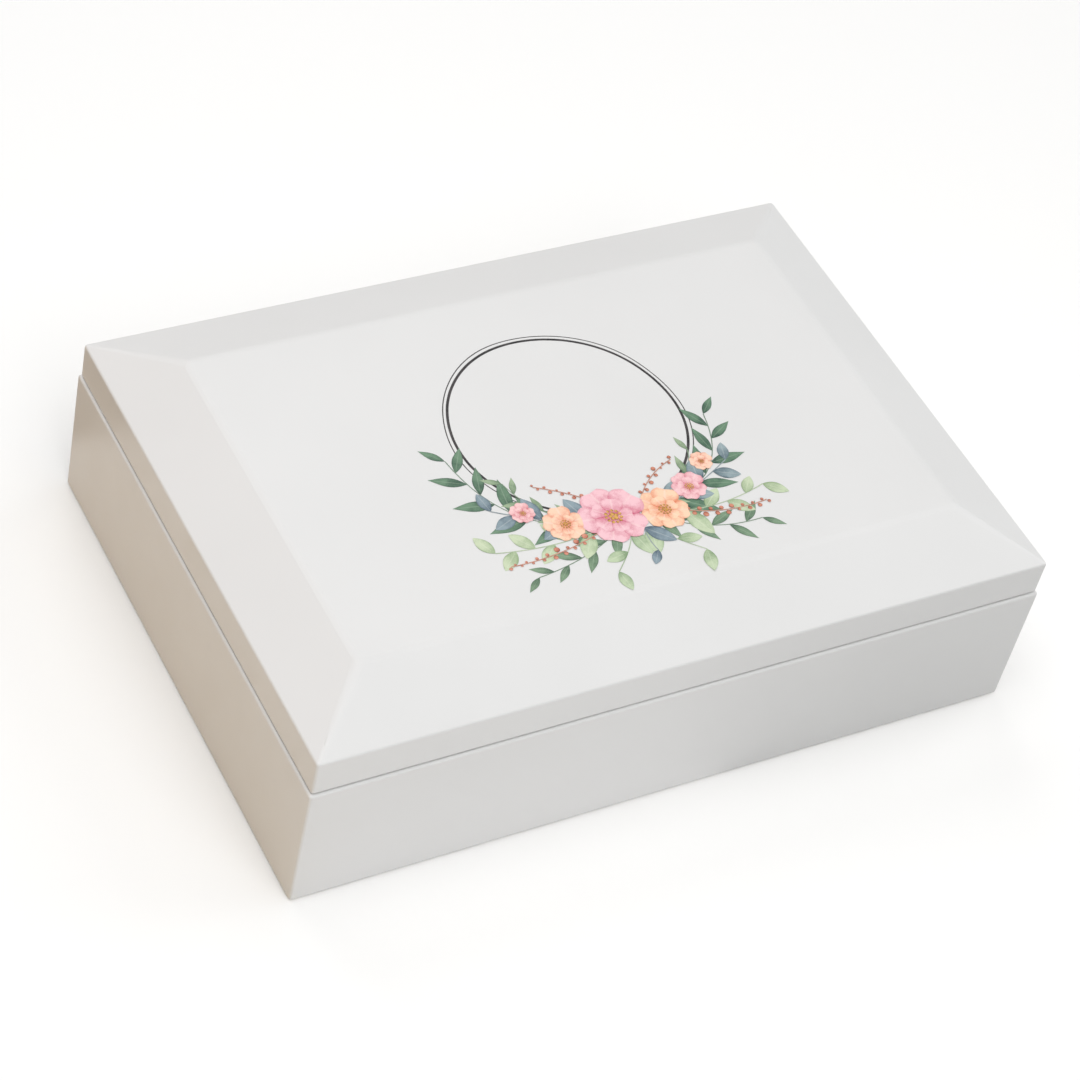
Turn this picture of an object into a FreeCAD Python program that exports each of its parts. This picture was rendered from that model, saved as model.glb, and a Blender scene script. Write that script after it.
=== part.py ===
"""A lacquered wooden jewellery box with a bevelled, hinged lid and a padded, divided interior.

Millimetres. The origin is the middle of the underside, +Z is up, +X runs along the front from left to
right, and the front faces -Y. The lid turns on two stop hinges along the back edge.
"""
import FreeCAD, Part

import os
import re

import Sketcher

RING_ROLL_COUNT = 8
SCREWS_PER_LEAF = 3
TOLERANCE = 1e-4
FILLET_SHARE = 0.9

SIZES = {
    # Case
    "box_width": 240.0,
    "box_depth": 168.4,
    "base_height": 45.3,
    "wall_thick": 10.0,
    "corner_radius": 0.9,
    "base_rim_round": 0.8,
    "parting_gap": 0.5,
    "bottom_thick": 4.0,
    "rebate_width": 5.0,
    "bottom_fit": 0.2,
    "felt_thick": 0.8,
    "felt_inset": 1.5,
    # Lid, set in a little from the base all round
    "lid_reveal": 0.7,
    "lid_rail_height": 7.9,
    "lid_arris_round": 0.4,
    "panel_edge": 4.1,
    "side_bevel_run": 21.5,
    "front_bevel_run": 23.1,
    "bevel_rise": 8.8,
    "crown_corner_radius": 3.0,
    "lid_rim_round": 0.8,
    "crown_round": 6.0,
    "lid_pad_thick": 4.0,
    "lid_pad_round": 1.8,
    # Lining and bays
    "liner_thick": 1.8,
    "liner_drop": 3.0,
    "lining_round": 0.7,
    "glue_gap": 0.1,
    "soft_gap": 0.3,
    "divider_thick": 4.0,
    "divider_height": 28.0,
    "divider_fit": 0.15,
    "ring_bay_width": 58.0,
    "front_bay_depth": 70.0,
    "front_left_bay_width": 76.0,
    "floor_pad_thick": 3.0,
    "floor_pad_round": 1.2,
    "ring_roll_height": 27.0,
    "ring_roll_round": 7.0,
    # Stop hinges
    "hinge_inset": 45.0,
    "leaf_length": 30.0,
    "leaf_thick": 1.5,
    "leaf_shoulder": 2.0,
    "mortise_fit": 0.1,
    "barrel_diameter": 5.0,
    "barrel_standoff": 0.4,
    "knuckle_gap": 0.2,
    "lid_knuckle_length": 10.0,
    "pin_diameter": 2.4,
    "pin_clearance": 0.05,
    "pin_end_round": 0.4,
    "stop_angle": 95.0,
    "stop_slack": 1.0,
    "tail_length": 2.5,
    "tail_thick": 1.4,
    # Hinge screws
    "screw_diameter": 2.0,
    "screw_head_diameter": 3.8,
    "screw_length": 8.0,
    "lid_screw_cover": 1.5,
    "screw_end_margin": 5.5,
    "screw_fit": 0.06,
    "pilot_extra": 0.5,
    "cross_span": 2.0,
    "cross_width": 0.6,
    "cross_depth": 0.7,
}

# Levels, from the floor up
FLOOR = "(felt_thick + bottom_thick)"
RIM = "(felt_thick + base_height)"
LID_BOTTOM = f"({RIM} + parting_gap)"
PANEL_BOTTOM = f"({LID_BOTTOM} + lid_rail_height)"
BEVEL_FOOT = f"({PANEL_BOTTOM} + panel_edge)"
CROWN = f"({BEVEL_FOOT} + bevel_rise)"
LINER_TOP = f"({RIM} - liner_drop)"
DIVIDER_TOP = f"({FLOOR} + divider_height)"
DIVIDER_HALF = f"({FLOOR} + divider_height / 2)"

# Half sizes in plan
HALF_X = "(box_width / 2)"
HALF_Y = "(box_depth / 2)"
LID_HALF_X = f"({HALF_X} - lid_reveal)"
LID_HALF_Y = f"({HALF_Y} - lid_reveal)"
INNER_X = f"({HALF_X} - wall_thick)"
INNER_Y = f"({HALF_Y} - wall_thick)"
LINER_X = f"({INNER_X} - glue_gap)"
LINER_Y = f"({INNER_Y} - glue_gap)"
BAY_X = f"({LINER_X} - liner_thick)"
BAY_Y = f"({LINER_Y} - liner_thick)"

# Divider faces
RING_LEFT = f"(ring_bay_width - {BAY_X})"
RING_RIGHT = f"({RING_LEFT} + divider_thick)"
CROSS_FRONT = f"(front_bay_depth - {BAY_Y})"
CROSS_BACK = f"({CROSS_FRONT} + divider_thick)"
SPLIT_LEFT = f"({RING_RIGHT} + front_left_bay_width)"
SPLIT_RIGHT = f"({SPLIT_LEFT} + divider_thick)"

# Hinge
BARREL_R = "(barrel_diameter / 2)"
PIN_R = "(pin_diameter / 2)"
LEAF_REACH = "(wall_thick - leaf_shoulder)"
AXIS_Y = f"({HALF_Y} + barrel_standoff + {BARREL_R})"
AXIS_Z = f"({RIM} + parting_gap / 2)"
STOP_HALF = "((stop_angle + stop_slack) / 2)"
LID_SCREW_LENGTH = "(lid_rail_height - lid_screw_cover)"
SCREW_ROW = "(leaf_length - 2 * screw_end_margin)"

doc = FreeCAD.newDocument("JewelleryBox")
sheet = doc.addObject("Spreadsheet::Sheet", "Sizes")
subparts = []


def fill_sheet():
    """Write each driving dimension to its own named cell."""
    for row, (name, size) in enumerate(SIZES.items(), start=1):
        sheet.set(f"A{row}", name)
        sheet.set(f"B{row}", str(size))
        sheet.setAlias(f"B{row}", name)
    doc.recompute()


def bound(expression):
    """Spell out the sheet's name before each size in an expression."""
    return re.sub(r"[a-z]\w+", lambda word: f"Sizes.{word[0]}" if word[0] in SIZES else word[0], expression)


def value(expression):
    """The number that an expression gives with the present sizes."""
    return float(sheet.evalExpression(bound(expression)))


def at(place):
    """The point of a sketch that two expressions give with the present sizes."""
    return FreeCAD.Vector(value(place[0]), value(place[1]), 0)


def less(expression):
    """The expression with its sign turned."""
    return f"(0 - {expression})"


def within(radius, wall):
    """A fillet's radius, kept a little smaller than the wall or corner that it has to fit."""
    return f"min({radius}; {FILLET_SHARE} * {wall})"


def bind(target, **expressions):
    """Bind properties of an object to expressions."""
    for name, expression in expressions.items():
        target.setExpression(name, bound(expression))


def new_body(label, x="0", y="0", z="0", turn_axis=(0, 0, 1), turn=0.0):
    """A sub-part's body, with its own label and a placement bound to the sizes."""
    body = doc.addObject("PartDesign::Body", label)
    body.Label = label
    body.Placement = FreeCAD.Placement(FreeCAD.Vector(), FreeCAD.Rotation(FreeCAD.Vector(*turn_axis), turn))
    for axis, expression in zip("xyz", (x, y, z)):
        body.setExpression(f"Placement.Base.{axis}", bound(expression))
    subparts.append(body)
    return body


def new_sketch(body, plane, level):
    """An empty sketch on one of the body's own planes, lifted along the plane's normal."""
    sketch = body.newObject("Sketcher::SketchObject", f"{body.Label}_sketch")
    support = next(face for face in body.Origin.OriginFeatures if face.Role == plane)
    sketch.AttachmentSupport = [(support, "")]
    sketch.MapMode = "FlatFace"
    sketch.setExpression("AttachmentOffset.Base.z", bound(level))
    return sketch


def hold(sketch, kind, references, expression):
    """Add one constraint to a sketch and bind it to an expression."""
    index = sketch.addConstraint(Sketcher.Constraint(kind, *references, value(expression)))
    name = f"{kind}_{index}"
    sketch.renameConstraint(index, name)
    sketch.setExpression(f"Constraints.{name}", bound(expression))


def hold_point(sketch, geometry, point, place):
    """Tie a point of a sketch to its two coordinates."""
    hold(sketch, "DistanceX", (-1, 1, geometry, point), place[0])
    hold(sketch, "DistanceY", (-1, 1, geometry, point), place[1])


def outline(body, plane, corners, level="0", arcs=None):
    """A closed outline, counter-clockwise; arcs gives the centre and radius of the edges that are round."""
    arcs = arcs or {}
    sketch = new_sketch(body, plane, level)
    points = [at(place) for place in corners]
    for index, start in enumerate(points):
        end = points[(index + 1) % len(points)]
        edge = Part.LineSegment(start, end)
        if index in arcs:
            centre, radius = arcs[index]
            circle = Part.Circle(at(centre), FreeCAD.Vector(0, 0, 1), value(radius))
            edge = Part.ArcOfCircle(circle, circle.parameter(start), circle.parameter(end))
        sketch.addGeometry(edge, False)
    for index in range(len(points)):
        sketch.addConstraint(Sketcher.Constraint("Coincident", index, 2, (index + 1) % len(points), 1))
    for index, place in enumerate(corners):
        hold_point(sketch, index, 1, place)
    for index, (_, radius) in arcs.items():
        hold(sketch, "Radius", (index,), radius)
    return sketch


def rectangle(body, plane, low, high, level="0"):
    """A rectangular outline between two opposite corners."""
    corners = [(low[0], low[1]), (high[0], low[1]), (high[0], high[1]), (low[0], high[1])]
    return outline(body, plane, corners, level)


def rounded_rectangle(body, half_x, half_y, radius, level):
    """A rectangular plan about the origin with round corners."""
    along_x = f"({half_x} - {radius})"
    along_y = f"({half_y} - {radius})"
    corners = [
        (less(along_x), less(half_y)), (along_x, less(half_y)),
        (half_x, less(along_y)), (half_x, along_y),
        (along_x, half_y), (less(along_x), half_y),
        (less(half_x), along_y), (less(half_x), less(along_y)),
    ]
    arcs = {
        1: ((along_x, less(along_y)), radius),
        3: ((along_x, along_y), radius),
        5: ((less(along_x), along_y), radius),
        7: ((less(along_x), less(along_y)), radius),
    }
    return outline(body, "XY_Plane", corners, level, arcs)


def circles(body, plane, centres, radius, level="0"):
    """Equal circles in one sketch."""
    sketch = new_sketch(body, plane, level)
    for index, place in enumerate(centres):
        sketch.addGeometry(Part.Circle(at(place), FreeCAD.Vector(0, 0, 1), value(radius)), False)
        hold_point(sketch, index, 3, place)
        hold(sketch, "Radius", (index,), radius)
    return sketch


def pad(body, sketch, length, symmetric=False, backwards=False):
    """Raise a sketch into a solid."""
    feature = body.newObject("PartDesign::Pad", f"{body.Label}_pad")
    feature.Profile = sketch
    feature.SideType = "Symmetric" if symmetric else "One side"
    feature.Reversed = backwards
    bind(feature, Length=length)
    doc.recompute()
    return feature


def pocket(body, sketch, depth, symmetric=False, backwards=False):
    """Cut a sketch into the body, and make sure that it takes material away."""
    before = body.Shape.Volume
    feature = body.newObject("PartDesign::Pocket", f"{body.Label}_pocket")
    feature.Profile = sketch
    feature.SideType = "Symmetric" if symmetric else "One side"
    feature.Reversed = backwards
    bind(feature, Length=depth)
    doc.recompute()
    if body.Shape.Volume >= before:
        raise RuntimeError(f"{feature.Label} cuts nothing")
    return feature


def fillet(body, radius, wanted):
    """Round the edges of the body's last feature that a test picks."""
    base = body.Tip
    names = [f"Edge{index}" for index, edge in enumerate(base.Shape.Edges, start=1) if wanted(edge)]
    feature = body.newObject("PartDesign::Fillet", f"{body.Label}_fillet")
    feature.Base = (base, names)
    bind(feature, Radius=radius)
    doc.recompute()
    return feature


def lies_at(edge, level):
    """Whether a whole edge lies at one height in its body."""
    box = edge.BoundBox
    return abs(box.ZMin - level) < TOLERANCE and abs(box.ZMax - level) < TOLERANCE


def hinge_places():
    """The x of each hinge's middle, by side."""
    return {"left": less(f"({HALF_X} - hinge_inset)"), "right": f"({HALF_X} - hinge_inset)"}


def screw_offsets():
    """The x of each screw, from the middle of its leaf."""
    steps = SCREWS_PER_LEAF - 1
    return [f"({SCREW_ROW} * ({number} / {steps} - 0.5))" for number in range(SCREWS_PER_LEAF)]


def case_side(label, length, offset, turn, bottom, height):
    """A mitred board of the case, modelled as the front one and turned to its side of the box."""
    body = new_body(label, turn=turn)
    half = f"({length} / 2)"
    tip = "(corner_radius * (1 - sqrt(0.5)))"
    straight = f"({half} - corner_radius)"
    inner = f"({half} - wall_thick)"
    centre_y = less(f"({offset} - corner_radius)")
    corners = [
        (less(straight), less(offset)), (straight, less(offset)),
        (f"({half} - {tip})", less(f"({offset} - {tip})")),
        (inner, less(f"({offset} - wall_thick)")), (less(inner), less(f"({offset} - wall_thick)")),
        (less(f"({half} - {tip})"), less(f"({offset} - {tip})")),
    ]
    arcs = {1: ((straight, centre_y), "corner_radius"), 5: ((less(straight), centre_y), "corner_radius")}
    pad(body, outline(body, "XY_Plane", corners, bottom, arcs), height)
    return body


def round_outer_arris(body, offset, level, radius):
    """Round the outer edge of a case board at one height, corners included."""
    height = value(level)
    limit = value(less(f"({offset} - corner_radius)"))

    def is_outer(edge):
        return lies_at(edge, height) and all(corner.Y < limit for corner in edge.Vertexes)

    fillet(body, within(radius, "corner_radius"), is_outer)


def cut_hinge_mortises(body, offset, level, screw_depth, upwards):
    """Let both hinges into a back board: a mortise for each leaf and pilot holes for its screws."""
    inside = less(f"({offset} - {LEAF_REACH} - mortise_fit)")
    outside = less(f"({offset} + wall_thick)")
    row_y = less(f"({offset} - {LEAF_REACH} / 2)")
    half = "(leaf_length / 2 + mortise_fit)"
    for middle in hinge_places().values():
        low = (f"({middle} - {half})", outside)
        high = (f"({middle} + {half})", inside)
        pocket(body, rectangle(body, "XY_Plane", low, high, level), "leaf_thick", backwards=upwards)
        holes = [(f"({middle} + {shift})", row_y) for shift in screw_offsets()]
        pilot = circles(body, "XY_Plane", holes, "(screw_diameter / 2 + screw_fit)", level)
        pocket(body, pilot, f"({screw_depth} + pilot_extra)", backwards=upwards)


def make_case_sides():
    """The four walls of the base and the four rails of the lid."""
    sides = {
        "front": ("box_width", HALF_Y, 0.0),
        "right": ("box_depth", HALF_X, 90.0),
        "back": ("box_width", HALF_Y, 180.0),
        "left": ("box_depth", HALF_X, 270.0),
    }
    for side, (length, offset, turn) in sides.items():
        lid_length = f"({length} - 2 * lid_reveal)"
        lid_offset = f"({offset} - lid_reveal)"
        wall = case_side(f"base_{side}_wall", length, offset, turn, "felt_thick", "base_height")
        low = (less(length), less(f"({offset} - wall_thick + rebate_width)"))
        high = (length, less(f"({offset} - wall_thick)"))
        rebate = rectangle(wall, "XY_Plane", low, high, "felt_thick")
        pocket(wall, rebate, "bottom_thick", backwards=True)
        round_outer_arris(wall, offset, RIM, "base_rim_round")
        rail = case_side(f"lid_{side}_rail", lid_length, lid_offset, turn, LID_BOTTOM, "lid_rail_height")
        round_outer_arris(rail, lid_offset, LID_BOTTOM, "lid_arris_round")
        if side == "back":
            cut_hinge_mortises(wall, offset, RIM, "screw_length", upwards=False)
            cut_hinge_mortises(rail, offset, LID_BOTTOM, LID_SCREW_LENGTH, upwards=True)


def make_bottom():
    """The bottom board in its rebate, and the felt that covers the underside."""
    board = new_body("bottom_board")
    half_x = f"({INNER_X} + rebate_width - bottom_fit)"
    half_y = f"({INNER_Y} + rebate_width - bottom_fit)"
    sketch = rectangle(board, "XY_Plane", (less(half_x), less(half_y)), (half_x, half_y), "felt_thick")
    pad(board, sketch, "bottom_thick")
    felt = new_body("underside_felt")
    felt_x = f"({HALF_X} - felt_inset)"
    felt_y = f"({HALF_Y} - felt_inset)"
    pad(felt, rounded_rectangle(felt, felt_x, felt_y, "corner_radius", "0"), "felt_thick")


def make_lid_panel():
    """The lid's top panel: a square edge, four bevels and a flat middle."""
    panel = new_body("lid_top_panel")
    pad(panel, rounded_rectangle(panel, LID_HALF_X, LID_HALF_Y, "corner_radius", PANEL_BOTTOM), "panel_edge")
    foot = rounded_rectangle(panel, LID_HALF_X, LID_HALF_Y, "corner_radius", BEVEL_FOOT)
    crown_x = f"({LID_HALF_X} - side_bevel_run)"
    crown_y = f"({LID_HALF_Y} - front_bevel_run)"
    crown = rounded_rectangle(panel, crown_x, crown_y, "crown_corner_radius", CROWN)
    bevel = panel.newObject("PartDesign::AdditiveLoft", "lid_top_panel_bevel")
    bevel.Profile = foot
    bevel.Sections = [crown]
    bevel.Ruled = True
    doc.recompute()
    fillet(panel, "crown_round", lambda edge: lies_at(edge, value(CROWN)))
    rim_round = within("lid_rim_round", "corner_radius")
    fillet(panel, rim_round, lambda edge: lies_at(edge, value(BEVEL_FOOT)))


def soft_block(label, low, high, bottom, thick, radius, round_level):
    """A padded block whose edges are rounded at one height."""
    body = new_body(label)
    pad(body, rectangle(body, "XY_Plane", low, high, bottom), thick)
    fillet(body, within(radius, thick), lambda edge: lies_at(edge, value(round_level)))


def make_liners():
    """The covered boards that line the four walls; the side ones stand between the long ones."""
    spans = {
        "front": ((less(LINER_X), less(LINER_Y)), (LINER_X, less(BAY_Y))),
        "back": ((less(LINER_X), BAY_Y), (LINER_X, LINER_Y)),
        "left": ((less(LINER_X), less(f"({BAY_Y} - glue_gap)")), (less(BAY_X), f"({BAY_Y} - glue_gap)")),
        "right": ((BAY_X, less(f"({BAY_Y} - glue_gap)")), (LINER_X, f"({BAY_Y} - glue_gap)")),
    }
    for side, (low, high) in spans.items():
        top_round = within("lining_round", "liner_thick / 2")
        soft_block(f"{side}_liner", low, high, FLOOR, f"({LINER_TOP} - {FLOOR})", top_round, LINER_TOP)


def divider(label, plane, corners, level, backwards=False):
    """A covered divider, drawn on its face and given its thickness."""
    body = new_body(label)
    pad(body, outline(body, plane, corners, level), "divider_thick", backwards=backwards)
    top = value(DIVIDER_TOP)
    end = value("divider_thick") + TOLERANCE
    top_round = within("lining_round", "divider_thick / 2")
    fillet(body, top_round, lambda edge: lies_at(edge, top) and edge.Length > end)


def make_dividers():
    """Three dividers that are halved into each other where they meet."""
    front_end = less(f"({BAY_Y} - divider_fit)")
    back_end = f"({BAY_Y} - divider_fit)"
    right_end = f"({BAY_X} - divider_fit)"
    tongue_foot = f"({DIVIDER_HALF} + divider_fit)"
    divider("ring_bay_divider", "YZ_Plane", [
        (front_end, FLOOR), (back_end, FLOOR), (back_end, DIVIDER_TOP),
        (f"({CROSS_BACK} + divider_fit)", DIVIDER_TOP), (f"({CROSS_BACK} + divider_fit)", DIVIDER_HALF),
        (f"({CROSS_FRONT} - divider_fit)", DIVIDER_HALF), (f"({CROSS_FRONT} - divider_fit)", DIVIDER_TOP),
        (front_end, DIVIDER_TOP),
    ], RING_LEFT)
    foot = f"({RING_RIGHT} + divider_fit)"
    divider("cross_divider", "XZ_Plane", [
        (foot, FLOOR), (right_end, FLOOR), (right_end, DIVIDER_TOP),
        (f"({SPLIT_RIGHT} + divider_fit)", DIVIDER_TOP), (f"({SPLIT_RIGHT} + divider_fit)", DIVIDER_HALF),
        (f"({SPLIT_LEFT} - divider_fit)", DIVIDER_HALF), (f"({SPLIT_LEFT} - divider_fit)", DIVIDER_TOP),
        (RING_LEFT, DIVIDER_TOP), (RING_LEFT, tongue_foot), (foot, tongue_foot),
    ], less(CROSS_FRONT), backwards=True)
    foot = f"({CROSS_FRONT} - divider_fit)"
    divider("front_bay_divider", "YZ_Plane", [
        (front_end, FLOOR), (foot, FLOOR), (foot, tongue_foot),
        (CROSS_BACK, tongue_foot), (CROSS_BACK, DIVIDER_TOP), (front_end, DIVIDER_TOP),
    ], SPLIT_LEFT)


def make_floor_pads():
    """One floor pad in each open bay."""
    back = f"({BAY_Y} - soft_gap)"
    front = less(back)
    right = f"({BAY_X} - soft_gap)"
    left = f"({RING_RIGHT} + soft_gap)"
    spans = {
        "back_bay": ((left, f"({CROSS_BACK} + soft_gap)"), (right, back)),
        "front_left_bay": ((left, front), (f"({SPLIT_LEFT} - soft_gap)", f"({CROSS_FRONT} - soft_gap)")),
        "front_right_bay": ((f"({SPLIT_RIGHT} + soft_gap)", front), (right, f"({CROSS_FRONT} - soft_gap)")),
    }
    top = f"({FLOOR} + floor_pad_thick)"
    for bay, (low, high) in spans.items():
        soft_block(f"{bay}_floor_pad", low, high, FLOOR, "floor_pad_thick", "floor_pad_round", top)


def make_ring_rolls():
    """Padded rolls side by side in the ring bay, with slits between them that grip the rings."""
    pitch = f"(2 * {BAY_Y} / {RING_ROLL_COUNT})"
    low_x = less(f"({BAY_X} - soft_gap)")
    high_x = f"({RING_LEFT} - soft_gap)"
    half = f"({pitch} / 2 - soft_gap / 2)"
    top = value(f"({FLOOR} + ring_roll_height)")
    for number in range(RING_ROLL_COUNT):
        middle = f"(({number} + 0.5) * {pitch} - {BAY_Y})"
        roll = new_body(f"ring_roll_{number + 1}")
        low = (low_x, f"({middle} - {half})")
        high = (high_x, f"({middle} + {half})")
        pad(roll, rectangle(roll, "XY_Plane", low, high, FLOOR), "ring_roll_height")
        top_round = within("ring_roll_round", half)
        fillet(roll, top_round, lambda edge: lies_at(edge, top) and edge.BoundBox.YLength < TOLERANCE)


def make_lid_pad():
    """The padded lining glued inside the lid."""
    half_x = f"({LID_HALF_X} - wall_thick - soft_gap)"
    half_y = f"({LID_HALF_Y} - wall_thick - soft_gap)"
    bottom = f"({PANEL_BOTTOM} - glue_gap - lid_pad_thick)"
    soft_block(
        "lid_lining_pad", (less(half_x), less(half_y)), (half_x, half_y),
        bottom, "lid_pad_thick", "lid_pad_round", bottom,
    )


def tail_corners(inner, outer):
    """The corners of a hinge's stop tail, whose stop face lies on a plane through the pin."""
    reach = [(outer, "0"), (inner, "0"), (inner, "tail_thick"), (outer, "tail_thick")]
    return [
        (
            f"({radius} * cos({STOP_HALF}) - {depth} * sin({STOP_HALF}))",
            f"(0 - {radius} * sin({STOP_HALF}) - {depth} * cos({STOP_HALF}))",
        )
        for radius, depth in reach
    ]


def hinge_leaf(label, middle, turn, outer_knuckles):
    """A leaf about the pin at its origin; the lid's leaf is the same way up when turned over."""
    leaf = new_body(label, middle, AXIS_Y, AXIS_Z, (0, 1, 0), turn)
    running = f"({BARREL_R} + knuckle_gap)"
    inside = less(f"({BARREL_R} + barrel_standoff + {LEAF_REACH})")
    face = less("(parting_gap / 2)")
    under = less("(parting_gap / 2 + leaf_thick)")
    knuckle_length = "leaf_length" if outer_knuckles else "lid_knuckle_length"
    plate = rectangle(leaf, "YZ_Plane", (inside, under), (less(running), face))
    pad(leaf, plate, "leaf_length", symmetric=True)
    web = rectangle(leaf, "YZ_Plane", (less(running), under), ("0", face))
    pad(leaf, web, knuckle_length, symmetric=True)
    pad(leaf, circles(leaf, "YZ_Plane", [("0", "0")], BARREL_R), knuckle_length, symmetric=True)
    pad(leaf, outline(leaf, "YZ_Plane", tail_corners("0", running)), knuckle_length, symmetric=True)
    if outer_knuckles:
        half = "(lid_knuckle_length / 2 + knuckle_gap)"
        window = rectangle(leaf, "XY_Plane", (less(half), less(running)), (half, "barrel_diameter"))
        pocket(leaf, window, "(barrel_diameter * 2)", symmetric=True)
    tail_end = f"({BARREL_R} + tail_length)"
    pad(leaf, outline(leaf, "YZ_Plane", tail_corners(running, tail_end)), "leaf_length", symmetric=True)
    bore = circles(leaf, "YZ_Plane", [("0", "0")], f"({PIN_R} + pin_clearance)")
    pocket(leaf, bore, "(leaf_length * 2)", symmetric=True)
    row_y = less(f"({BARREL_R} + barrel_standoff + {LEAF_REACH} / 2)")
    places = [(shift, row_y) for shift in screw_offsets()]
    sketch = circles(leaf, "XY_Plane", places, "(screw_diameter / 2 + screw_fit)", face)
    doc.recompute()
    before = leaf.Shape.Volume
    hole = leaf.newObject("PartDesign::Hole", f"{label}_screw_holes")
    hole.Profile = sketch
    hole.DepthType = "ThroughAll"
    hole.HoleCutType = "Countersink"
    hole.HoleCutCustomValues = True
    hole.HoleCutCountersinkAngle = 90
    bind(hole, Diameter="(screw_diameter + 2 * screw_fit)")
    bind(hole, HoleCutDiameter="(screw_head_diameter + 2 * screw_fit)")
    doc.recompute()
    if leaf.Shape.Volume >= before:
        raise RuntimeError(f"{hole.Label} cuts nothing")


def screw_row(label, middle, level, turn, length):
    """The countersunk screws of one leaf, as separate solids in one row."""
    first = f"({middle} - {SCREW_ROW} / 2)"
    body = new_body(label, first, f"({HALF_Y} - {LEAF_REACH} / 2)", level, (1, 0, 0), turn)
    shank = "(screw_diameter / 2)"
    head = "(screw_head_diameter / 2)"
    profile = outline(body, "XZ_Plane", [
        ("0", "0"), ("0", less(length)), (shank, less(f"({length} - screw_diameter)")),
        (shank, less(f"({head} - {shank})")), (head, "0"),
    ])
    turned = body.newObject("PartDesign::Revolution", f"{label}_turned")
    turned.Profile = profile
    turned.ReferenceAxis = (profile, ["V_Axis"])
    turned.Angle = 360
    doc.recompute()
    arm = "(cross_span / 2)"
    rib = "(cross_width / 2)"
    cross = outline(body, "XY_Plane", [
        (less(rib), less(arm)), (rib, less(arm)), (rib, less(rib)), (arm, less(rib)), (arm, rib), (rib, rib),
        (rib, arm), (less(rib), arm), (less(rib), rib), (less(arm), rib), (less(arm), less(rib)),
        (less(rib), less(rib)),
    ])
    recess = pocket(body, cross, "cross_depth")
    row = body.newObject("PartDesign::LinearPattern", f"{label}_row")
    row.Originals = [turned, recess]
    row.Direction = (cross, ["H_Axis"])
    row.Occurrences = SCREWS_PER_LEAF
    bind(row, Length=SCREW_ROW)
    body.Tip = row
    doc.recompute()


def make_hinges():
    """Two stop hinges: a leaf on the base, a leaf on the lid, a pin, and each leaf's screws."""
    for side, middle in hinge_places().items():
        hinge_leaf(f"{side}_hinge_base_leaf", middle, 0.0, outer_knuckles=True)
        hinge_leaf(f"{side}_hinge_lid_leaf", middle, 180.0, outer_knuckles=False)
        pin = new_body(f"{side}_hinge_pin", middle, AXIS_Y, AXIS_Z)
        pad(pin, circles(pin, "YZ_Plane", [("0", "0")], PIN_R), "leaf_length", symmetric=True)
        fillet(pin, within("pin_end_round", PIN_R), lambda edge: edge.BoundBox.XLength < TOLERANCE)
        screw_row(f"{side}_hinge_base_screws", middle, RIM, 0.0, "screw_length")
        screw_row(f"{side}_hinge_lid_screws", middle, LID_BOTTOM, 180.0, LID_SCREW_LENGTH)


def check_document():
    """Stop if any object failed, or if a sub-part has no sound shape."""
    failed = [item.Label for item in doc.Objects if {"Invalid", "Error"} & set(item.State)]
    if failed:
        raise RuntimeError(f"failed objects: {failed}")
    unsound = [body.Label for body in subparts if body.Shape.isNull() or not body.Shape.isValid()]
    if unsound:
        raise RuntimeError(f"unsound shapes: {unsound}")


fill_sheet()
make_case_sides()
make_bottom()
make_lid_panel()
make_liners()
make_dividers()
make_floor_pads()
make_ring_rolls()
make_lid_pad()
make_hinges()
doc.recompute()
check_document()

os.makedirs("parts", exist_ok=True)
for subpart in subparts:
    subpart.Shape.exportStep(f"parts/{subpart.Label}.step")
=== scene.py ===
"""The looks of a lacquered wooden jewellery box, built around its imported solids.

Metres, in the solids' own frame: the origin is the middle of the underside, +Z is up and the front faces -Y.
"""

import logging
import math
from collections.abc import Iterable, Sequence
from dataclasses import dataclass
from enum import Enum
from functools import cached_property

import bmesh
import bpy
import numpy as np
from mathutils import Matrix, Quaternion, Vector


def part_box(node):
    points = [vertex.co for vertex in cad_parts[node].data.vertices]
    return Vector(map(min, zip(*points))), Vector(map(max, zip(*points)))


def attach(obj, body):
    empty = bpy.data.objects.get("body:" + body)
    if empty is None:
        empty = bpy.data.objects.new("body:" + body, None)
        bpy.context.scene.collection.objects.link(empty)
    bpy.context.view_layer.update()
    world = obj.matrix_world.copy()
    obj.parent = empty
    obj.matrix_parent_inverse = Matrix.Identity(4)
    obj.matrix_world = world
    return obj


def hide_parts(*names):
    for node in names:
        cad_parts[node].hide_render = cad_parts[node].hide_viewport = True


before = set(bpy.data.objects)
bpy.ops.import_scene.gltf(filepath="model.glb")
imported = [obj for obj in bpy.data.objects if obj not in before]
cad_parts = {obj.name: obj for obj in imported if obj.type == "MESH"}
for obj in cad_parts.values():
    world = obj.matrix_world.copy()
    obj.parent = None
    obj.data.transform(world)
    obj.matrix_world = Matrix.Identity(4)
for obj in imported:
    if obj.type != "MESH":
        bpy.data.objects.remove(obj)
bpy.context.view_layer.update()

LOG = logging.getLogger("jewellery_box")
MM = 0.001
TOLERANCE = 0.001 * MM
Colour = tuple[float, float, float, float]
Point = tuple[float, float]


class Body(Enum):
    """The two bodies that the lid's hinge joins."""

    BASE = "base"
    LID = "lid"


class Slot(Enum):
    """The record's material slots."""

    LACQUER = "white_lacquer"
    VELVET = "lining_velvet"
    FELT = "underside_felt"
    BRASS = "hinge_brass"


class Side(Enum):
    """The four sides of the box."""

    FRONT = "front"
    RIGHT = "right"
    BACK = "back"
    LEFT = "left"


class Rays(Enum):
    """Which light of the box meets a card."""

    DIFFUSE = "diffuse"
    GLOSSY = "glossy"


class Opens(Enum):
    """Which way a padded piece shows its soft face."""

    UP = 1
    DOWN = -1


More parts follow.
